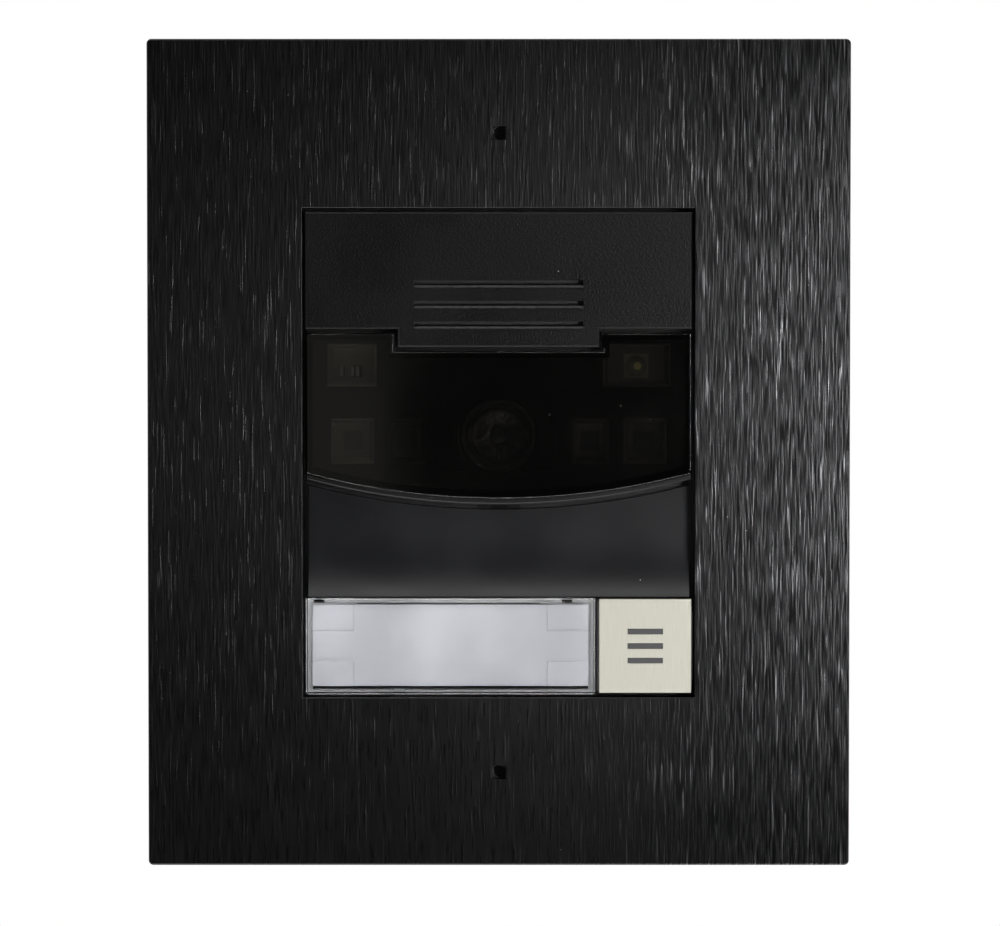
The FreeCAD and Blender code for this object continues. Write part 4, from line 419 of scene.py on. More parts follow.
@dataclass
class Graph:
    """A node tree that is written as a chain of calls.

    Attributes:
        tree: The Blender node tree.
    """

    tree: bpy.types.NodeTree

    def add(self, kind: str, ports: dict[Any, Any] | None = None,
            **settings: Any) -> bpy.types.Node:
        """Adds a node, sets its options and fills its inputs.

        Args:
            kind: Node type without its ShaderNode prefix.
            ports: Input name or number to a value, or to an output socket to link.
            **settings: Options of the node itself.

        Returns:
            The node.
        """
        node = self.tree.nodes.new(f"ShaderNode{kind}")
        for option, value in settings.items():
            setattr(node, option, value)
        for port, value in (ports or {}).items():
            if isinstance(value, bpy.types.NodeSocket):
                self.tree.links.new(value, node.inputs[port])
            else:
                node.inputs[port].default_value = value
        return node

    def maths(self, operation: str, a: Any, b: Any = 0.0,
              clamp: bool = False) -> bpy.types.NodeSocket:
        """Adds a Math node and gives its result."""
        node = self.add("Math", {0: a, 1: b}, operation=operation, use_clamp=clamp)
        return node.outputs[0]

    def blend(self, share: Any, a: Any, b: Any) -> bpy.types.NodeSocket:
        """Mixes two colours.

        Args:
            share: Share of the second colour, as a number or a socket.
            a: First colour, as numbers or a socket.
            b: Second colour.

        Returns:
            The mixed colour's socket.
        """
        node = self.add("Mix", data_type="RGBA")
        for index, value in ((0, share), (6, a), (7, b)):
            if isinstance(value, bpy.types.NodeSocket):
                self.tree.links.new(value, node.inputs[index])
            elif index == 0:
                node.inputs[index].default_value = value
            else:
                node.inputs[index].default_value = (*value, 1.0) if len(value) == 3 else value
        return node.outputs[2]

    def ramp(self, value: Any, low: float, high: float, to_low: float = 0.0,
             to_high: float = 1.0) -> bpy.types.NodeSocket:
        """Maps a value from one range to another, smoothly, and keeps it inside.

        Args:
            value: The value's socket.
            low: Start of its range.
            high: End of its range.
            to_low: Result at the start.
            to_high: Result at the end.

        Returns:
            The mapped value's socket.
        """
        node = self.add(
            "MapRange", {0: value, 1: low, 2: high, 3: to_low, 4: to_high},
            interpolation_type="SMOOTHSTEP", clamp=True,
        )
        return node.outputs[0]


class Effect(Enum):
    """The surface effects that several finishes share."""

    GRAIN = "moulding_grain"
    BRUSHING = "brush_lines"
    DUST = "dust_specks"
    CLOUDS = "uneven_tone"


def open_group(effect: Effect, inputs: Iterable[tuple[str, float]],
               outputs: Iterable[str]) -> tuple[Graph, bpy.types.Node, bpy.types.Node]:
    """Starts a node group with named number inputs and outputs.

    Args:
        effect: What the group is for, which names it.
        inputs: Name and default of each input.
        outputs: Names of the outputs.

    Returns:
        The graph, its input node and its output node.
    """
    tree = bpy.data.node_groups.new(effect.value, "ShaderNodeTree")
    for name, value in inputs:
        socket = tree.interface.new_socket(name, in_out="INPUT", socket_type="NodeSocketFloat")
        socket.default_value = value
    for name in outputs:
        tree.interface.new_socket(name, in_out="OUTPUT", socket_type="NodeSocketFloat")
    graph = Graph(tree)
    return graph, tree.nodes.new("NodeGroupInput"), tree.nodes.new("NodeGroupOutput")


def make_grain() -> bpy.types.NodeTree:
    """Builds the leathery grain of moulded plastic: pebbles of a size, with a height."""
    graph, given, result = open_group(Effect.GRAIN, [("Pebbles per metre", 4000.0)], ["Height"])
    place = graph.add("TexCoord").outputs["Object"]
    pebbles = graph.add(
        "TexVoronoi", {"Vector": place, "Scale": given.outputs[0], "Randomness": 0.9},
        feature="SMOOTH_F1",
    )
    fine = graph.maths("MULTIPLY", given.outputs[0], 2.3)
    haze = graph.add("TexNoise", {"Vector": place, "Scale": fine, "Detail": 2.0})
    soft = graph.maths("MULTIPLY", haze.outputs[0], 0.6)
    mixed = graph.maths("ADD", pebbles.outputs["Distance"], soft)
    graph.tree.links.new(mixed, result.inputs["Height"])
    return graph.tree


def make_brushing() -> bpy.types.NodeTree:
    """Builds brush lines along Z: fine hair lines, and sparse bright strokes among them."""
    graph, given, result = open_group(
        Effect.BRUSHING,
        [("Lines per metre", 5000.0), ("Line length", 0.004), ("Stroke share", 0.4)],
        ["Hair", "Stroke", "Height"],
    )
    place = graph.add("SeparateXYZ", {0: graph.add("TexCoord").outputs["Object"]})
    across = graph.maths("ADD", place.outputs["X"], place.outputs["Y"])
    along = graph.maths("DIVIDE", place.outputs["Z"], given.outputs["Line length"])
    lines = graph.maths("MULTIPLY", across, given.outputs["Lines per metre"])
    hair_place = graph.add("CombineXYZ", {"X": lines, "Y": along})
    hair = graph.add("TexNoise", {"Vector": hair_place.outputs[0], "Scale": 1.0, "Detail": 1.4,
                                  "Roughness": 0.5})
    wide_lines = graph.maths("MULTIPLY", lines, 0.93)
    long_lines = graph.maths("MULTIPLY", along, 0.7)
    stroke_place = graph.add("CombineXYZ", {"X": wide_lines, "Y": long_lines, "Z": 7.3})
    stroke = graph.add("TexNoise", {"Vector": stroke_place.outputs[0], "Scale": 1.0, "Detail": 1.0})
    drop = graph.maths("MULTIPLY", given.outputs["Stroke share"], 0.5)
    edge = graph.maths("SUBTRACT", 0.86, drop)
    top = graph.maths("ADD", edge, 0.12)
    mask = graph.ramp(stroke.outputs[0], 0.5, 0.8)
    graph.tree.links.new(edge, mask.node.inputs[1])
    graph.tree.links.new(top, mask.node.inputs[2])
    both = graph.maths("ADD", hair.outputs[0], graph.maths("MULTIPLY", mask, 0.5))
    for port, value in (("Hair", hair.outputs[0]), ("Stroke", mask), ("Height", both)):
        graph.tree.links.new(value, result.inputs[port])
    return graph.tree


def make_dust() -> bpy.types.NodeTree:
    """Builds a thin scatter of pale specks."""
    graph, given, result = open_group(
        Effect.DUST, [("Specks per metre", 260.0), ("Speck size", 0.05)], ["Mask"]
    )
    place = graph.add("TexCoord").outputs["Object"]
    cells = graph.add("TexVoronoi", {"Vector": place, "Scale": given.outputs[0]}, feature="F1")
    chance = graph.add("SeparateColor", {0: cells.outputs["Color"]}).outputs[0]
    size = graph.maths("MULTIPLY", given.outputs["Speck size"], chance)
    speck = graph.maths("LESS_THAN", cells.outputs["Distance"], size)
    rare = graph.maths("GREATER_THAN", chance, 0.72)
    graph.tree.links.new(graph.maths("MULTIPLY", speck, rare), result.inputs["Mask"])
    return graph.tree


def make_clouds() -> bpy.types.NodeTree:
    """Builds a slow, faint change of tone."""
    graph, given, result = open_group(Effect.CLOUDS, [("Clouds per metre", 40.0)], ["Tone"])
    place = graph.add("TexCoord").outputs["Object"]
    noise = graph.add("TexNoise", {"Vector": place, "Scale": given.outputs[0], "Detail": 3.0})
    graph.tree.links.new(graph.ramp(noise.outputs[0], 0.3, 0.7), result.inputs["Tone"])
    return graph.tree


def use(graph: Graph, effect: Effect, **values: float) -> bpy.types.Node:
    """Places a shared effect in a material's graph.

    Args:
        graph: The material's graph.
        effect: The effect.
        **values: Input name, with underscores for blanks, to its value.

    Returns:
        The group's node.
    """
    makers = {
        Effect.GRAIN: make_grain,
        Effect.BRUSHING: make_brushing,
        Effect.DUST: make_dust,
        Effect.CLOUDS: make_clouds,
    }
    tree = bpy.data.node_groups.get(effect.value) or makers[effect]()
    node = graph.add("Group")
    node.node_tree = tree
    for name, value in values.items():
        node.inputs[name.replace("_", " ")].default_value = value
    return node


def start(name: str) -> tuple[bpy.types.Material, Graph, bpy.types.Node]:
    """Starts a material.

    Args:
        name: Name of the material.

    Returns:
        The material, its graph and its Principled shader.
    """
    material = bpy.data.materials.new(name)
    material.use_nodes = True
    shader = material.node_tree.nodes["Principled BSDF"]
    return material, Graph(material.node_tree), shader


# ---- finishes -----------------------------------------------------------------------------------


@dataclass(frozen=True)
class MouldedPlastic:
    """A moulded plastic with a fine grain, a slow change of tone and a little dust."""

    name: str
    colour: Colour
    roughness: float = 0.5
    grain: float = 4200.0
    grain_depth: float = 0.012
    sheen: float = 0.5
    dust: float = 0.03
    evenness: float = 0.82

    def material(self) -> bpy.types.Material:
        """Builds the material."""
        made, graph, shader = start(self.name)
        tone = use(graph, Effect.CLOUDS, Clouds_per_metre=55.0).outputs["Tone"]
        darker = tuple(part * self.evenness for part in self.colour)
        base = graph.blend(tone, darker, self.colour)
        if self.dust:
            speck = use(graph, Effect.DUST, Speck_size=self.dust).outputs["Mask"]
            base = graph.blend(speck, base, (0.35, 0.34, 0.32))
        graph.tree.links.new(base, shader.inputs["Base Color"])
        rough = graph.ramp(tone, 0.0, 1.0, self.roughness * 0.92, min(self.roughness * 1.08, 1.0))
        graph.tree.links.new(rough, shader.inputs["Roughness"])
        shader.inputs["Specular IOR Level"].default_value = self.sheen
        if self.grain:
            grain = use(graph, Effect.GRAIN, Pebbles_per_metre=self.grain)
            bump = graph.add(
                "Bump", {"Height": grain.outputs["Height"], "Distance": self.grain_depth * MM,
                         "Strength": 1.0},
            )
            graph.tree.links.new(bump.outputs[0], shader.inputs["Normal"])
        return made


@dataclass(frozen=True)
class BrushedMetal:
    """Metal brushed along Z: hair lines, bright strokes and a bump, with a painted highlight that
    lets the strokes show more to the right.
    """

    name: str
    dark: Colour
    bright: Colour
    roughness: float = 0.4
    lines: float = 5000.0
    line_length: float = 0.004
    strokes: float = 0.4
    depth: float = 0.006
    metallic: float = 1.0
    pull: float = 0.8
    # Painted highlight: share of the stroke colour at x = 0, rising to full at +52 mm.
    painted_highlight_share: float = 0.35
    dust: float = 0.02

    def material(self) -> bpy.types.Material:
        """Builds the material."""
        made, graph, shader = start(self.name)
        brushing = use(
            graph, Effect.BRUSHING, Lines_per_metre=self.lines, Line_length=self.line_length,
            Stroke_share=self.strokes,
        )
        place = graph.add("SeparateXYZ", {0: graph.add("TexCoord").outputs["Object"]})
        # Painted highlight: the strokes keep their full contrast only towards +X, where the key
        # lamp's glints fall, and fade into a flat colour to the left.
        painted_highlight_share = graph.ramp(place.outputs["X"], 0.0, 0.052, self.painted_highlight_share, 1.0)
        share = graph.ramp(brushing.outputs["Hair"], 0.35, 0.72)
        flat_unlit_colour = tuple(a * 0.84 + b * 0.16 for a, b in zip(self.dark, self.bright))
        middle = tuple((a * 2 + b) / 3 for a, b in zip(self.dark, self.bright))
        base = graph.blend(share, self.dark, middle)
        base = graph.blend(brushing.outputs["Stroke"], base, self.bright)
        base = graph.blend(painted_highlight_share, flat_unlit_colour, base)
        if self.dust:
            speck = use(graph, Effect.DUST, Speck_size=self.dust).outputs["Mask"]
            base = graph.blend(speck, base, (0.5, 0.5, 0.5))
        graph.tree.links.new(base, shader.inputs["Base Color"])
        rough = graph.ramp(brushing.outputs["Hair"], 0.3, 0.7, self.roughness * 1.15,
                           self.roughness * 0.85)
        graph.tree.links.new(rough, shader.inputs["Roughness"])
        shader.inputs["Metallic"].default_value = self.metallic
        shader.inputs["Anisotropic"].default_value = self.pull
        bump = graph.add(
            "Bump", {"Height": brushing.outputs["Height"], "Distance": self.depth * MM},
        )
        graph.tree.links.new(bump.outputs[0], shader.inputs["Normal"])
        return made


@dataclass(frozen=True)
class PlainMetal:
    """Plated, turned or pressed metal with faint clouds and tiny pits."""

    name: str
    colour: Colour
    roughness: float = 0.3
    pits: float = 9000.0
    depth: float = 0.003

    def material(self) -> bpy.types.Material:
        """Builds the material."""
        made, graph, shader = start(self.name)
        tone = use(graph, Effect.CLOUDS, Clouds_per_metre=180.0).outputs["Tone"]
        duller = tuple(part * 0.8 for part in self.colour)
        graph.tree.links.new(graph.blend(tone, duller, self.colour), shader.inputs["Base Color"])
        rough = graph.ramp(tone, 0.0, 1.0, self.roughness * 1.25, self.roughness * 0.85)
        graph.tree.links.new(rough, shader.inputs["Roughness"])
        shader.inputs["Metallic"].default_value = 1.0
        grain = use(graph, Effect.GRAIN, Pebbles_per_metre=self.pits)
        bump = graph.add("Bump", {"Height": grain.outputs["Height"], "Distance": self.depth * MM})
        graph.tree.links.new(bump.outputs[0], shader.inputs["Normal"])
        return made


@dataclass(frozen=True)
class ClearPlastic:
    """Transparent plastic: glass-like, tinted, with dust on it."""

    name: str
    tint: Colour
    roughness: float = 0.02
    refraction: float = 1.49
    dust: float = 0.0
    ripple: float = 0.0

    def material(self) -> bpy.types.Material:
        """Builds the material."""
        made, graph, shader = start(self.name)
        tone = use(graph, Effect.CLOUDS, Clouds_per_metre=60.0).outputs["Tone"]
        deeper = tuple(part * 0.96 for part in self.tint)
        base = graph.blend(tone, deeper, self.tint)
        rough = graph.ramp(tone, 0.0, 1.0, self.roughness, self.roughness * 1.6)
        if self.dust:
            speck = use(graph, Effect.DUST, Specks_per_metre=210.0, Speck_size=self.dust)
            mask = speck.outputs["Mask"]
            base = graph.blend(mask, base, (0.9, 0.88, 0.82))
            rough = graph.maths("MAXIMUM", rough, graph.maths("MULTIPLY", mask, 0.8))
        graph.tree.links.new(base, shader.inputs["Base Color"])
        graph.tree.links.new(rough, shader.inputs["Roughness"])
        shader.inputs["Transmission Weight"].default_value = 1.0
        shader.inputs["IOR"].default_value = self.refraction
        if self.ripple:
            wave = graph.add(
                "TexNoise", {"Vector": graph.add("TexCoord").outputs["Object"], "Scale": 900.0}
            )
            bump = graph.add("Bump", {"Height": wave.outputs[0], "Distance": self.ripple * MM})
            graph.tree.links.new(bump.outputs[0], shader.inputs["Normal"])
        return made


@dataclass(frozen=True)
class CircuitBoard:
    """Solder mask over fine copper tracks, with bare pads."""

    name: str
    mask: Colour
    track: Colour
    pad: Colour = (0.72, 0.6, 0.32)

    def material(self) -> bpy.types.Material:
        """Builds the material."""
        made, graph, shader = start(self.name)
        place = graph.add("TexCoord").outputs["Object"]
        bricks = graph.add(
            "TexBrick", {"Vector": graph.add("Mapping", {0: place, "Rotation": (math.pi / 2, 0, 0)})
                         .outputs[0], "Scale": 260.0, "Mortar Size": 0.16, "Brick Width": 1.7},
        )
        lines = graph.maths("SUBTRACT", 1.0, bricks.outputs["Fac"])
        base = graph.blend(lines, self.mask, self.track)
        holes = graph.add("TexVoronoi", {"Vector": place, "Scale": 330.0}, feature="F1")
        pads = graph.maths("LESS_THAN", holes.outputs["Distance"], 0.13)
        base = graph.blend(pads, base, self.pad)
        graph.tree.links.new(base, shader.inputs["Base Color"])
        shader.inputs["Roughness"].default_value = 0.36
        height = graph.maths("MAXIMUM", lines, pads)
        bump = graph.add("Bump", {"Height": height, "Distance": 0.02 * MM})
        graph.tree.links.new(bump.outputs[0], shader.inputs["Normal"])
        return made


@dataclass(frozen=True)
class WovenMesh:
    """Black woven wire: threads in two directions with dark gaps."""

    name: str
    thread: Colour
    threads: float = 2600.0

    def material(self) -> bpy.types.Material:
        """Builds the material."""
        made, graph, shader = start(self.name)
        place = graph.add("SeparateXYZ", {0: graph.add("TexCoord").outputs["Object"]})
        waves = []
        for axis in ("X", "Z"):
            turn = graph.maths("MULTIPLY", place.outputs[axis], self.threads * math.pi)
            waves.append(graph.maths("ABSOLUTE", graph.maths("SINE", turn)))
        weave = graph.maths("MAXIMUM", waves[0], waves[1])
        gap = tuple(part * 0.15 for part in self.thread)
        share = graph.ramp(weave, 0.6, 0.9)
        graph.tree.links.new(graph.blend(share, gap, self.thread), shader.inputs["Base Color"])
        shader.inputs["Roughness"].default_value = 0.5
        bump = graph.add("Bump", {"Height": weave, "Distance": 0.06 * MM})
        graph.tree.links.new(bump.outputs[0], shader.inputs["Normal"])
        return made


@dataclass
class Finishes:
    """Every finish of the object, built once."""

    made: dict[str, bpy.types.Material] = field(default_factory=dict)

    def build(self) -> None:
        """Builds all the materials."""
        for finish in (
            # bezel_metal and key_metal carry the painted highlight that strengthens their strokes
            # towards +X.
            BrushedMetal("bezel_metal", (0.0068, 0.0068, 0.0070), (0.13, 0.13, 0.134), 0.31,
                         lines=2900.0, line_length=0.0065, strokes=0.46, depth=0.055, pull=0.6,
                         painted_highlight_share=0.05),
            BrushedMetal("key_metal", (0.41, 0.40, 0.345), (0.51, 0.50, 0.43), 0.5,
                         lines=9000.0, line_length=0.006, strokes=0.3, depth=0.002,
                         metallic=0.35, pull=0.3, dust=0.0),
            MouldedPlastic("cover_plastic", (0.0022, 0.0022, 0.0024), 0.34, 3400.0, 0.05,
                           sheen=0.18),
            MouldedPlastic("scoop_plastic", (0.0030, 0.0032, 0.0042), 0.40, 5200.0, 0.010,
                           sheen=0.28),
            MouldedPlastic("lip_plastic", (0.004, 0.004, 0.004), 0.3, 0.0, sheen=0.5, dust=0.05),
            MouldedPlastic("black_plastic", (0.012, 0.012, 0.012), 0.55),
            MouldedPlastic("box_plastic", (0.075, 0.079, 0.084), 0.5, 2600.0, 0.03, dust=0.04),
            MouldedPlastic("foam", (0.02, 0.02, 0.021), 0.95, 1900.0, 0.15, sheen=0.1, dust=0.0),
            MouldedPlastic("rubber", (0.015, 0.015, 0.015), 0.7, 6000.0, 0.01, sheen=0.3),
            MouldedPlastic("carrier_plastic", (0.12, 0.12, 0.125), 0.45, 0.0),
            MouldedPlastic("symbol_plastic", (0.042, 0.040, 0.043), 0.5, 9000.0, 0.004, dust=0.0),
            MouldedPlastic("label_paper", (0.91, 0.92, 0.97), 0.9, 12000.0, 0.001, sheen=0.05,
                           dust=0.0),
            MouldedPlastic("guide_plastic", (0.92, 0.93, 0.95), 0.35, 0.0, dust=0.0),
            MouldedPlastic("chip_plastic", (0.02, 0.02, 0.02), 0.5, 9000.0, 0.006),
            MouldedPlastic("relay_plastic", (0.02, 0.05, 0.22), 0.35, 0.0),
            MouldedPlastic("terminal_plastic", (0.02, 0.22, 0.07), 0.42, 6000.0, 0.006),
            MouldedPlastic("lead_plastic", (0.45, 0.02, 0.015), 0.45, 0.0),
            MouldedPlastic("cone_film", (0.02, 0.02, 0.021), 0.4, 0.0),
            # cell_pale, cell_mid and cell_dark are the liners' plastic in painted light and shade;
            # cell_pale also colours the white lamp.
            MouldedPlastic("cell_pale", (0.36, 0.34, 0.27), 0.5, 0.0, dust=0.0),
            MouldedPlastic("cell_mid", (0.12, 0.12, 0.115), 0.5, 0.0, dust=0.0),
            MouldedPlastic("cell_dark", (0.05, 0.05, 0.05), 0.5, 0.0, dust=0.0),
            MouldedPlastic("cell_white", (0.8, 0.78, 0.7), 0.5, 0.0, dust=0.0),
            MouldedPlastic("lens_black", (0.02, 0.02, 0.02), 0.35, 0.0, dust=0.0),
            MouldedPlastic("lens_grey", (0.06, 0.06, 0.06), 0.35, 0.0, dust=0.0),
            MouldedPlastic("phosphor", (0.95, 0.85, 0.35), 0.4, 0.0, dust=0.0),
            MouldedPlastic("tape", (0.01, 0.01, 0.01), 0.8, 5000.0, 0.01),
            PlainMetal("zinc_steel", (0.66, 0.68, 0.70), 0.32),
            PlainMetal("black_steel", (0.05, 0.05, 0.052), 0.34),
            PlainMetal("turned_brass", (0.72, 0.52, 0.2), 0.28),
            PlainMetal("tinned_steel", (0.7, 0.7, 0.71), 0.25),
            PlainMetal("gold_flash", (0.9, 0.68, 0.28), 0.2),
            PlainMetal("bare_aluminium", (0.78, 0.79, 0.8), 0.35),
            PlainMetal("copper_winding", (0.72, 0.34, 0.18), 0.35, 5000.0, 0.01),
            ClearPlastic("smoked_window", (0.26, 0.25, 0.235), 0.06, dust=0.035),
            ClearPlastic("clear_cover", (0.995, 0.995, 1.0), 0.02, ripple=0.004),
            ClearPlastic("clear_epoxy", (0.9, 0.9, 0.95), 0.05),
            ClearPlastic("coated_glass", (0.35, 0.3, 0.5), 0.0, 1.6),
            CircuitBoard("dark_board", (0.008, 0.012, 0.010), (0.016, 0.024, 0.02)),
            CircuitBoard("green_board", (0.008, 0.075, 0.03), (0.02, 0.15, 0.06)),
            WovenMesh("speaker_weave", (0.03, 0.03, 0.03)),
        ):
            self.made[finish.name] = finish.material()

    def __getitem__(self, name: str) -> bpy.types.Material:
        """The material of that name."""
        return self.made[name]


# ---- sub-assemblies -----------------------------------------------------------------------------


@dataclass
class CoverFrame:
    """The brushed cover frame with its hidden bridges, screws and seal."""

    edge: float = 0.1

    def build(self) -> None:
        """Eases the edges of the frame, the bridges and the screws."""
        self.plate = eased_node("bezel_plate", self.edge)
        self.bridges = eased_node("bezel_bridges", 0.15)
        self.screws = eased_node("bezel_screws", 0.12)

    def dress(self, finishes: Finishes) -> None:
        """Paints the frame and its fixings.

        Args:
            finishes: The object\'s finishes.
        """
        paint(self.plate, finishes["bezel_metal"])
        paint(self.bridges, finishes["zinc_steel"])
        paint(self.screws, finishes["black_steel"])
        paint_nodes(finishes["foam"], "bezel_seal", "case_seal")
        paint_nodes(finishes["turned_brass"], "bezel_inserts", "pillar_inserts")


@dataclass
class WallBox:
    """The box in the wall, with a waffle of shallow pockets in the back of its floor."""

    edge: float = 0.35
    pocket: float = 14.0
    pitch: float = 16.0
    pocket_deep: float = 0.8
    pocket_bevel: float = 0.5
    outside: float = 1.0
    columns: int = 2
    rows: int = 3
    fixing_row: int = 2

    def build(self) -> None:
        """Cuts the waffle and eases the box's moulded edges."""
        self.box = eased_node("wall_box", self.edge)
        _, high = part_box("wall_box")
        back = high.y / MM
        half = self.pocket / 2
        pockets = []
        for column in range(-self.columns, self.columns + 1):
            for row in range(-self.rows, self.rows + 1):
                if abs(column) == self.columns and abs(row) == self.fixing_row:
                    continue
                x, z = column * self.pitch, row * self.pitch
                pockets.append(slab(
                    f"pocket_{len(pockets)}", (x - half, back - self.pocket_deep, z - half),
                    (x + half, back + self.outside, z + half),
                ))
        waffle = join(pockets, "waffle")
        pick_faces(waffle, faces_front)
        bpy.ops.mesh.bevel(offset=self.pocket_bevel * MM, segments=2, affect="EDGES")
        close_edit()
        combine(self.box, waffle, "DIFFERENCE")
        flatten_shading(self.box)

    def dress(self, finishes: Finishes) -> None:
        """Paints the box.

        Args:
            finishes: The object\'s finishes.
        """
        paint(self.box, finishes["box_plastic"])


@dataclass
class SpeakerCover:
    """The upper cover with its slots, and the loudspeaker behind them."""

    edge: float = 0.16

    def build(self) -> None:
        """Eases the cover's slots and edges."""
        self.cover = eased_node("upper_cover", self.edge, steps=3)

    def dress(self, finishes: Finishes) -> None:
        """Paints the cover and the speaker's pieces.

        Args:
            finishes: The object\'s finishes.
        """
        paint(self.cover, finishes["cover_plastic"])
        paint_nodes(finishes["speaker_weave"], "speaker_mesh")
        paint_nodes(finishes["rubber"], "speaker_seal", "speaker_surround")
        paint_nodes(finishes["black_steel"], "speaker_basket")
        paint_nodes(finishes["bare_aluminium"], "speaker_magnet")
        paint_nodes(finishes["cone_film"], "speaker_cone")
        paint_nodes(finishes["copper_winding"], "voice_coil")
        paint_nodes(finishes["lead_plastic"], "speaker_leads")


@dataclass(frozen=True)
class Cell:
    """One cell of the baffle: its middle and its clear size, in millimetres."""

    name: str
    x: float
    z: float
    wide: float
    high: float
    # Grey of the cell's liner, which is painted light or shade for that cell.
    shade: str


@dataclass
class CameraBay:
    """The smoked window, the baffle behind it, the lamps and the camera."""

    # The liners are one moulding; their pale, mid and dark greys are painted light and shade, cell
    # by cell.
    cells: tuple[Cell, ...] = (
        Cell("outer_left", -27.1, 2.2, 7.9, 8.4, "cell_pale"),
        Cell("inner_left", -17.0, 2.2, 6.8, 8.4, "cell_dark"),
        Cell("inner_right", 17.0, 2.2, 6.8, 8.4, "cell_mid"),
        Cell("outer_right", 27.1, 2.2, 7.9, 8.4, "cell_mid"),
        Cell("sensor", -27.2, 16.3, 9.1, 7.9, "cell_pale"),
        Cell("lamp", 25.6, 16.3, 12.4, 7.9, "cell_mid"),
    )
    liner_wall: float = 0.7
    liner_front: float = -2.0
    liner_back: float = 2.9
    floor_thick: float = 0.25
    liner_fit: float = 0.05
    liner_rim: float = 0.12
    die_radius: float = 0.75
    die_place: tuple[float, float] = (25.8, 16.1)
    die_out: float = 0.35
    die_thick: float = 0.6
    die_rim: float = 0.22
    die_proud: float = 0.14
    pin_places: tuple[float, ...] = (-29.3, -27.3, -26.3)
    pin_half: float = 0.3
    pin_low: float = 14.2
    pin_high: float = 16.0
    pin_out: float = 0.12
    pin_thick: float = 0.5
    pin_rim: float = 0.1
    pin_proud: float = 0.08
    trim_radius: float = 6.9
    trim_bore: float = 6.35
    trim_out: float = 0.25
    trim_thick: float = 0.35
    bore_out: float = 1.0
    grip_place: float = 5.2
    grip_half: tuple[float, float, float] = (0.45, 0.3, 1.1)
    grip_rim: float = 0.18
    grip_sunk: float = 0.12
    lens_x: float = 0.0
    lens_z: float = 3.2

    def build(self) -> None:
        """Eases the window and the baffle and adds the parts that show through the window."""
        self.window = eased_node("camera_window", 0.08)
        self.baffle = eased_node("light_baffle", 0.12)
        self.barrel = eased_node("lens_barrel", 0.08)
        self.liners = {cell: self.liner(cell) for cell in self.cells}
        self.die = self.lamp_die()
        self.pins = self.sensor_pins()
        self.ribs = self.lens_ribs()

    def liner(self, cell: Cell) -> bpy.types.Object:
        """Moulds a reflector: an open box with a sloped wall and a thin floor.

        Args:
            cell: The cell it lines.

        Returns:
            The liner.
        """
        x, z = cell.wide / 2 - self.liner_fit, cell.high / 2 - self.liner_fit
        piece = slab(
            f"{cell.name}_liner", (cell.x - x, self.liner_front, cell.z - z),
            (cell.x + x, self.liner_back, cell.z + z),
        )
        pick_faces(piece, faces_front)
        inset(self.liner_rim)
        push(y=self.liner_back - self.liner_front - self.floor_thick)
        shrink(1 - 2 * self.liner_wall / cell.wide, Vector((cell.x, 0, cell.z)))
        close_edit()
        ease_edges(piece, 0.1)
        return go_with(piece, Body.UNIT)

    def lamp_die(self) -> bpy.types.Object:
        """Turns the white lamp's yellow phosphor spot, as a low domed button."""
        low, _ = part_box("white_lamp")
        x, z = self.die_place
        piece = disc("lamp_phosphor", x, z, low.y / MM - self.die_out, self.die_thick,
                     self.die_radius, 32)
        raise_front(piece, self.die_rim, -self.die_proud)
        ease_edges(piece, 0.06, smooth=60.0)
        return go_with(piece, Body.UNIT)

    def sensor_pins(self) -> bpy.types.Object:
        """Forms the bright end caps on the light sensor's chips."""
        low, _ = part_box("light_sensor")
        front = low.y / MM - self.pin_out
        bars = []
        for number, x in enumerate(self.pin_places):
            bar = slab(
                f"pin_{number}", (x - self.pin_half, front, self.pin_low),
                (x + self.pin_half, front + self.pin_thick, self.pin_high),
            )
            raise_front(bar, self.pin_rim, -self.pin_proud)
            bars.append(ease_edges(bar, 0.05))
        return go_with(join(bars, "sensor_end_caps"), Body.UNIT)

    def lens_ribs(self) -> bpy.types.Object:
        """Cuts a slim stepped ring with two grip blocks for the face of the lens."""
        low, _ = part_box("lens_barrel")
        front = low.y / MM
        piece = disc("lens_trim", self.lens_x, self.lens_z, front - self.trim_out,
                     self.trim_thick, self.trim_radius, 96)
        bore = disc("trim_bore", self.lens_x, self.lens_z, front - self.bore_out,
                    2 * self.bore_out, self.trim_bore, 96)
        combine(piece, bore, "DIFFERENCE")
        blocks = []
        wide, deep, high = self.grip_half
        for side in (-1, 1):
            x = side * self.grip_place
            block = slab(
                f"grip_{side}", (x - wide, front - deep, self.lens_z - high),
                (x + wide, front + deep, self.lens_z + high),
            )
            raise_front(block, self.grip_rim, self.grip_sunk)
            blocks.append(ease_edges(block, 0.06))
        ease_edges(piece, 0.08)
        return go_with(join([piece, *blocks], "lens_trim"), Body.UNIT)

    def dress(self, finishes: Finishes) -> None:
        """Paints the bay.

        Args:
            finishes: The object\'s finishes.
        """
        paint(self.window, finishes["smoked_window"])
        paint(self.baffle, finishes["lip_plastic"])
        paint(self.barrel, finishes["lens_black"])
        paint(self.ribs, finishes["lens_grey"])
        paint(self.die, finishes["phosphor"])
        paint(self.pins, finishes["cell_white"])
        for cell, liner in self.liners.items():
            paint(liner, finishes[cell.shade])
        paint_nodes(finishes["tape"], "window_tape")
        paint_nodes(finishes["black_plastic"], "lens_holder")
        paint_nodes(finishes["coated_glass"], "front_glass")
        paint_nodes(finishes["clear_epoxy"], "infrared_lamps")
        paint_nodes(finishes["cell_pale"], "white_lamp")
        paint_nodes(finishes["dark_board"], "light_board", "camera_board")
        paint_nodes(finishes["chip_plastic"], "light_sensor", "image_sensor")


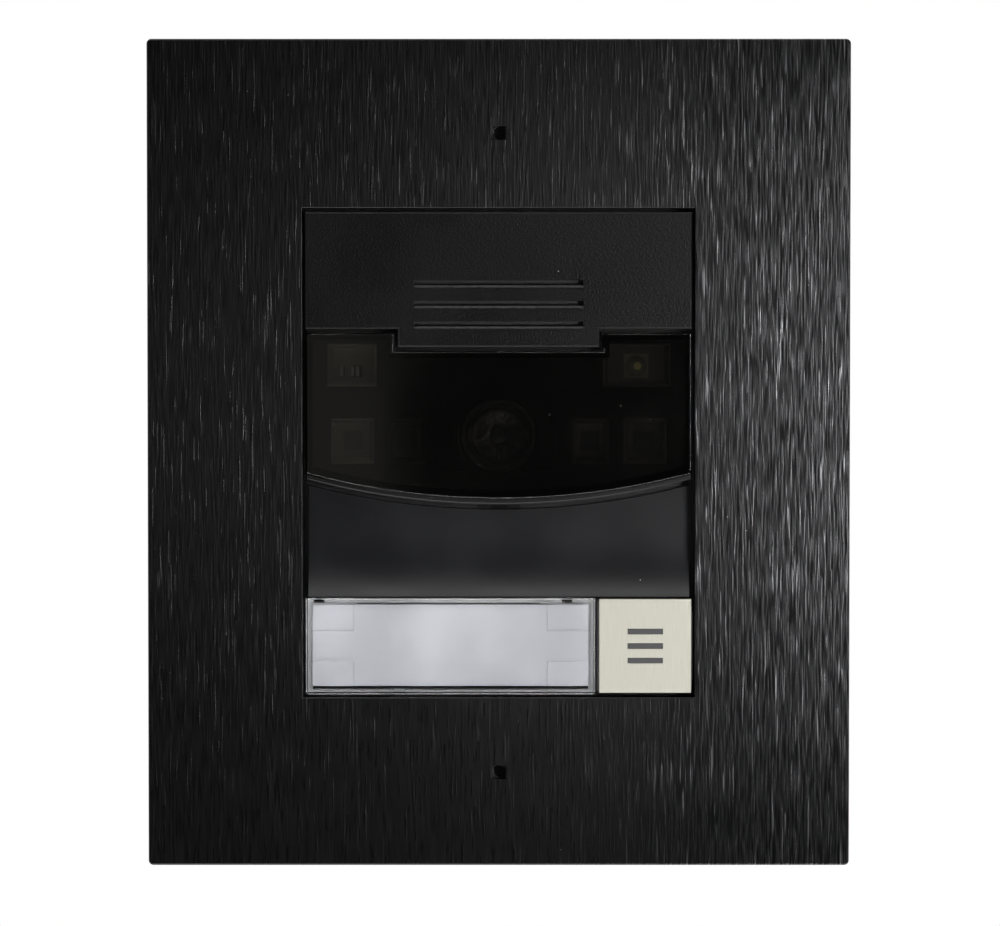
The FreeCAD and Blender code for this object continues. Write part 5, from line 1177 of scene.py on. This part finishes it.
@dataclass
class Scoop:
    """The scooped lower cover and the microphone behind its gap."""

    edge: float = 0.15
    felt_thick: float = 0.3
    felt_share: float = 0.96
    felt_rim: float = 0.4
    felt_proud: float = 0.12

    def build(self) -> None:
        """Eases the cover's edges and puts a felt on the microphone."""
        self.cover = eased_node("lower_cover", self.edge)
        low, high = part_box("microphone")
        middle, radius = (low + high) / 2 / MM, (high.x - low.x) / 2 / MM
        thick = self.felt_thick
        self.felt = disc(
            "microphone_felt", middle.x, middle.z, low.y / MM - thick, thick,
            radius * self.felt_share,
        )
        raise_front(self.felt, self.felt_rim, -self.felt_proud)
        ease_edges(self.felt, 0.08)
        go_with(self.felt, Body.UNIT)

    def dress(self, finishes: Finishes) -> None:
        """Paints the cover and the microphone.

        Args:
            finishes: The object\'s finishes.
        """
        paint(self.cover, finishes["scoop_plastic"])
        paint(self.felt, finishes["foam"])
        paint_nodes(finishes["rubber"], "microphone_boot")
        paint_nodes(finishes["tinned_steel"], "microphone")


@dataclass
class NamePlate:
    """The clear name plate cover, its blank label and the light guide."""

    edge: float = 0.04

    def build(self) -> None:
        """Eases the clear cover's edges."""
        self.cover = eased_node("nameplate_cover", self.edge)

    def dress(self, finishes: Finishes) -> None:
        """Paints the name plate.

        Args:
            finishes: The object\'s finishes.
        """
        paint(self.cover, finishes["clear_cover"])
        paint_nodes(finishes["label_paper"], "name_label")
        paint_nodes(finishes["guide_plastic"], "light_guide")
        paint_nodes(finishes["phosphor"], "label_lamps")


@dataclass
class CallKey:
    """The metal call key, its carrier and the switch behind it."""

    edge: float = 0.06

    def build(self) -> None:
        """Eases the key's face and carrier."""
        self.face = eased_node("button_face", self.edge)
        self.carrier = eased_node("button_carrier", 0.1)

    def dress(self, finishes: Finishes) -> None:
        """Paints the key, its carrier and its switch.

        Args:
            finishes: The object\'s finishes.
        """
        paint(self.face, finishes["key_metal"])
        paint(self.carrier, finishes["symbol_plastic"])
        paint_nodes(finishes["chip_plastic"], "push_switch", "board_link")
        paint_nodes(finishes["carrier_plastic"], "push_plunger")
        paint_nodes(finishes["dark_board"], "key_board")


@dataclass
class Core:
    """The chassis, the rear case and the main board with its parts."""

    def build(self) -> None:
        """Eases the chassis and the rear case."""
        self.chassis = eased_node("chassis", 0.15)
        self.case = eased_node("rear_case", 0.25)

    def dress(self, finishes: Finishes) -> None:
        """Paints the core.

        Args:
            finishes: The object\'s finishes.
        """
        paint(self.chassis, finishes["black_plastic"])
        paint(self.case, finishes["black_plastic"])
        paint_nodes(finishes["green_board"], "main_board")
        paint_nodes(finishes["chip_plastic"], "processor", "reset_switch")
        paint_nodes(finishes["bare_aluminium"], "heat_spreader", "capacitors")
        paint_nodes(finishes["relay_plastic"], "lock_relay")
        paint_nodes(finishes["tinned_steel"], "network_jack")
        paint_nodes(finishes["gold_flash"], "jack_contacts")
        paint_nodes(finishes["terminal_plastic"], "terminal_header", "terminal_plug")
        paint_nodes(finishes["zinc_steel"], "clamp_screws", "unit_screws", "case_screws")
        paint_nodes(finishes["carrier_plastic"], "reset_plunger")


# ---- studio -------------------------------------------------------------------------------------


@dataclass(frozen=True)
class Softbox:
    """One rectangular lamp. Places are in metres."""

    name: str
    place: tuple[float, float, float]
    aim: tuple[float, float, float]
    size: tuple[float, float]
    brightness: float
    colour: Colour = (1.0, 1.0, 1.0)

    def build(self) -> None:
        """Adds the lamp, turned to its aim. Brightness 1 is the backdrop's."""
        light = bpy.data.lights.new(self.name, "AREA")
        light.shape = "RECTANGLE"
        light.size, light.size_y = self.size
        light.energy = self.brightness * math.pi * self.size[0] * self.size[1]
        light.color = self.colour
        lamp = bpy.data.objects.new(self.name, light)
        lamp.location = self.place
        way = Vector(self.aim) - Vector(self.place)
        lamp.rotation_euler = way.to_track_quat("-Z", "Y").to_euler()
        lamp.visible_camera = False
        bpy.context.scene.collection.objects.link(lamp)


@dataclass
class Studio:
    """Camera, lamps, floor and the white surroundings."""

    camera_distance: float = 0.80
    camera_rise: float = 2.0
    view_width: float = 0.18505
    centre_shift: tuple[float, float] = (0.00023, -0.0018)
    floor_drop: float = 0.75
    floor_radius: float = 1.6
    dark_room: float = 0.03

    def build(self) -> None:
        """Sets up everything round the object."""
        bpy.context.scene.view_settings.view_transform = "Standard"
        self.surroundings()
        self.floor()
        self.camera()
        for lamp in (
            Softbox("right_box", (0.200, -0.36, 0.0), (0, 0, 0), (0.085, 0.15), 21.0),
            Softbox("right_rim", (0.80, 0.12, 0.0), (0, 0, 0), (0.30, 0.50), 5.0),
            Softbox("left_box", (-0.95, -0.30, 0.10), (0, 0, 0), (0.5, 0.6), 2.0),
            Softbox("top_box", (0.0, -0.46, 0.87), (0, 0, 0), (0.9, 0.40), 7.0),
            Softbox("low_box", (0.0, -0.46, -0.56), (0, 0, 0), (0.8, 0.40), 5.2),
            Softbox("left_card", (-0.221, -0.86, -0.015), (-0.221, 0, -0.015), (0.358, 0.11), 0.19,
                    (1.0, 0.97, 0.92)),
        ):
            lamp.build()

    def surroundings(self) -> None:
        """White backdrop behind the object and a dark room in front of it."""
        world = bpy.data.worlds.new("studio")
        world.use_nodes = True
        bpy.context.scene.world = world
        graph = Graph(world.node_tree)
        background = world.node_tree.nodes["Background"]
        way = graph.add("SeparateXYZ", {0: graph.add("TexCoord").outputs["Generated"]})
        behind = graph.ramp(way.outputs["Y"], -0.05, 0.12, self.dark_room, 1.0)
        seen = graph.add("LightPath").outputs["Is Camera Ray"]
        background.inputs["Color"].default_value = (1.0, 1.0, 1.0, 1.0)
        graph.tree.links.new(graph.maths("MAXIMUM", behind, seen), background.inputs["Strength"])

    def floor(self) -> None:
        """A plain pale floor well below the object."""
        deselect()
        bpy.ops.mesh.primitive_circle_add(
            vertices=96, radius=self.floor_radius, fill_type="NGON",
            location=(0, 0, -self.floor_drop),
        )
        floor = settle(bpy.context.object, "floor")
        pale = MouldedPlastic("pale_floor", (0.9, 0.9, 0.9), 0.7, 0.0, dust=0.0, evenness=0.98)
        paint(floor, pale.material())

    def camera(self) -> None:
        """The camera, square on to the cover frame and a little above it."""
        lens = bpy.data.cameras.new("camera")
        lens.sensor_width = 36.0
        front = CAD_BOX[0].y
        lens.lens = lens.sensor_width * self.camera_distance / self.view_width
        lens.clip_start, lens.clip_end = 0.01, 20.0
        eye = bpy.data.objects.new("camera", lens)
        rise = math.radians(self.camera_rise)
        side, up = self.centre_shift
        aim = Vector((side, front, up))
        back = Vector((0.0, -math.cos(rise), math.sin(rise)))
        eye.location = aim + back * self.camera_distance
        eye.rotation_euler = (-back).to_track_quat("-Z", "Y").to_euler()
        bpy.context.scene.collection.objects.link(eye)
        bpy.context.scene.camera = eye


def main() -> None:
    """Builds and dresses every sub-assembly, then the studio."""
    logging.basicConfig(level=logging.INFO, format="%(name)s: %(message)s")
    finishes = Finishes()
    finishes.build()
    LOG.info("%d finishes", len(finishes.made))
    for assembly in (
        CoverFrame(), WallBox(), SpeakerCover(), CameraBay(),
        Scoop(), NamePlate(), CallKey(), Core(),
    ):
        assembly.build()
        assembly.dress(finishes)
        LOG.info("built %s", type(assembly).__name__)
    Studio().build()


if __name__ == "__main__":
    main()
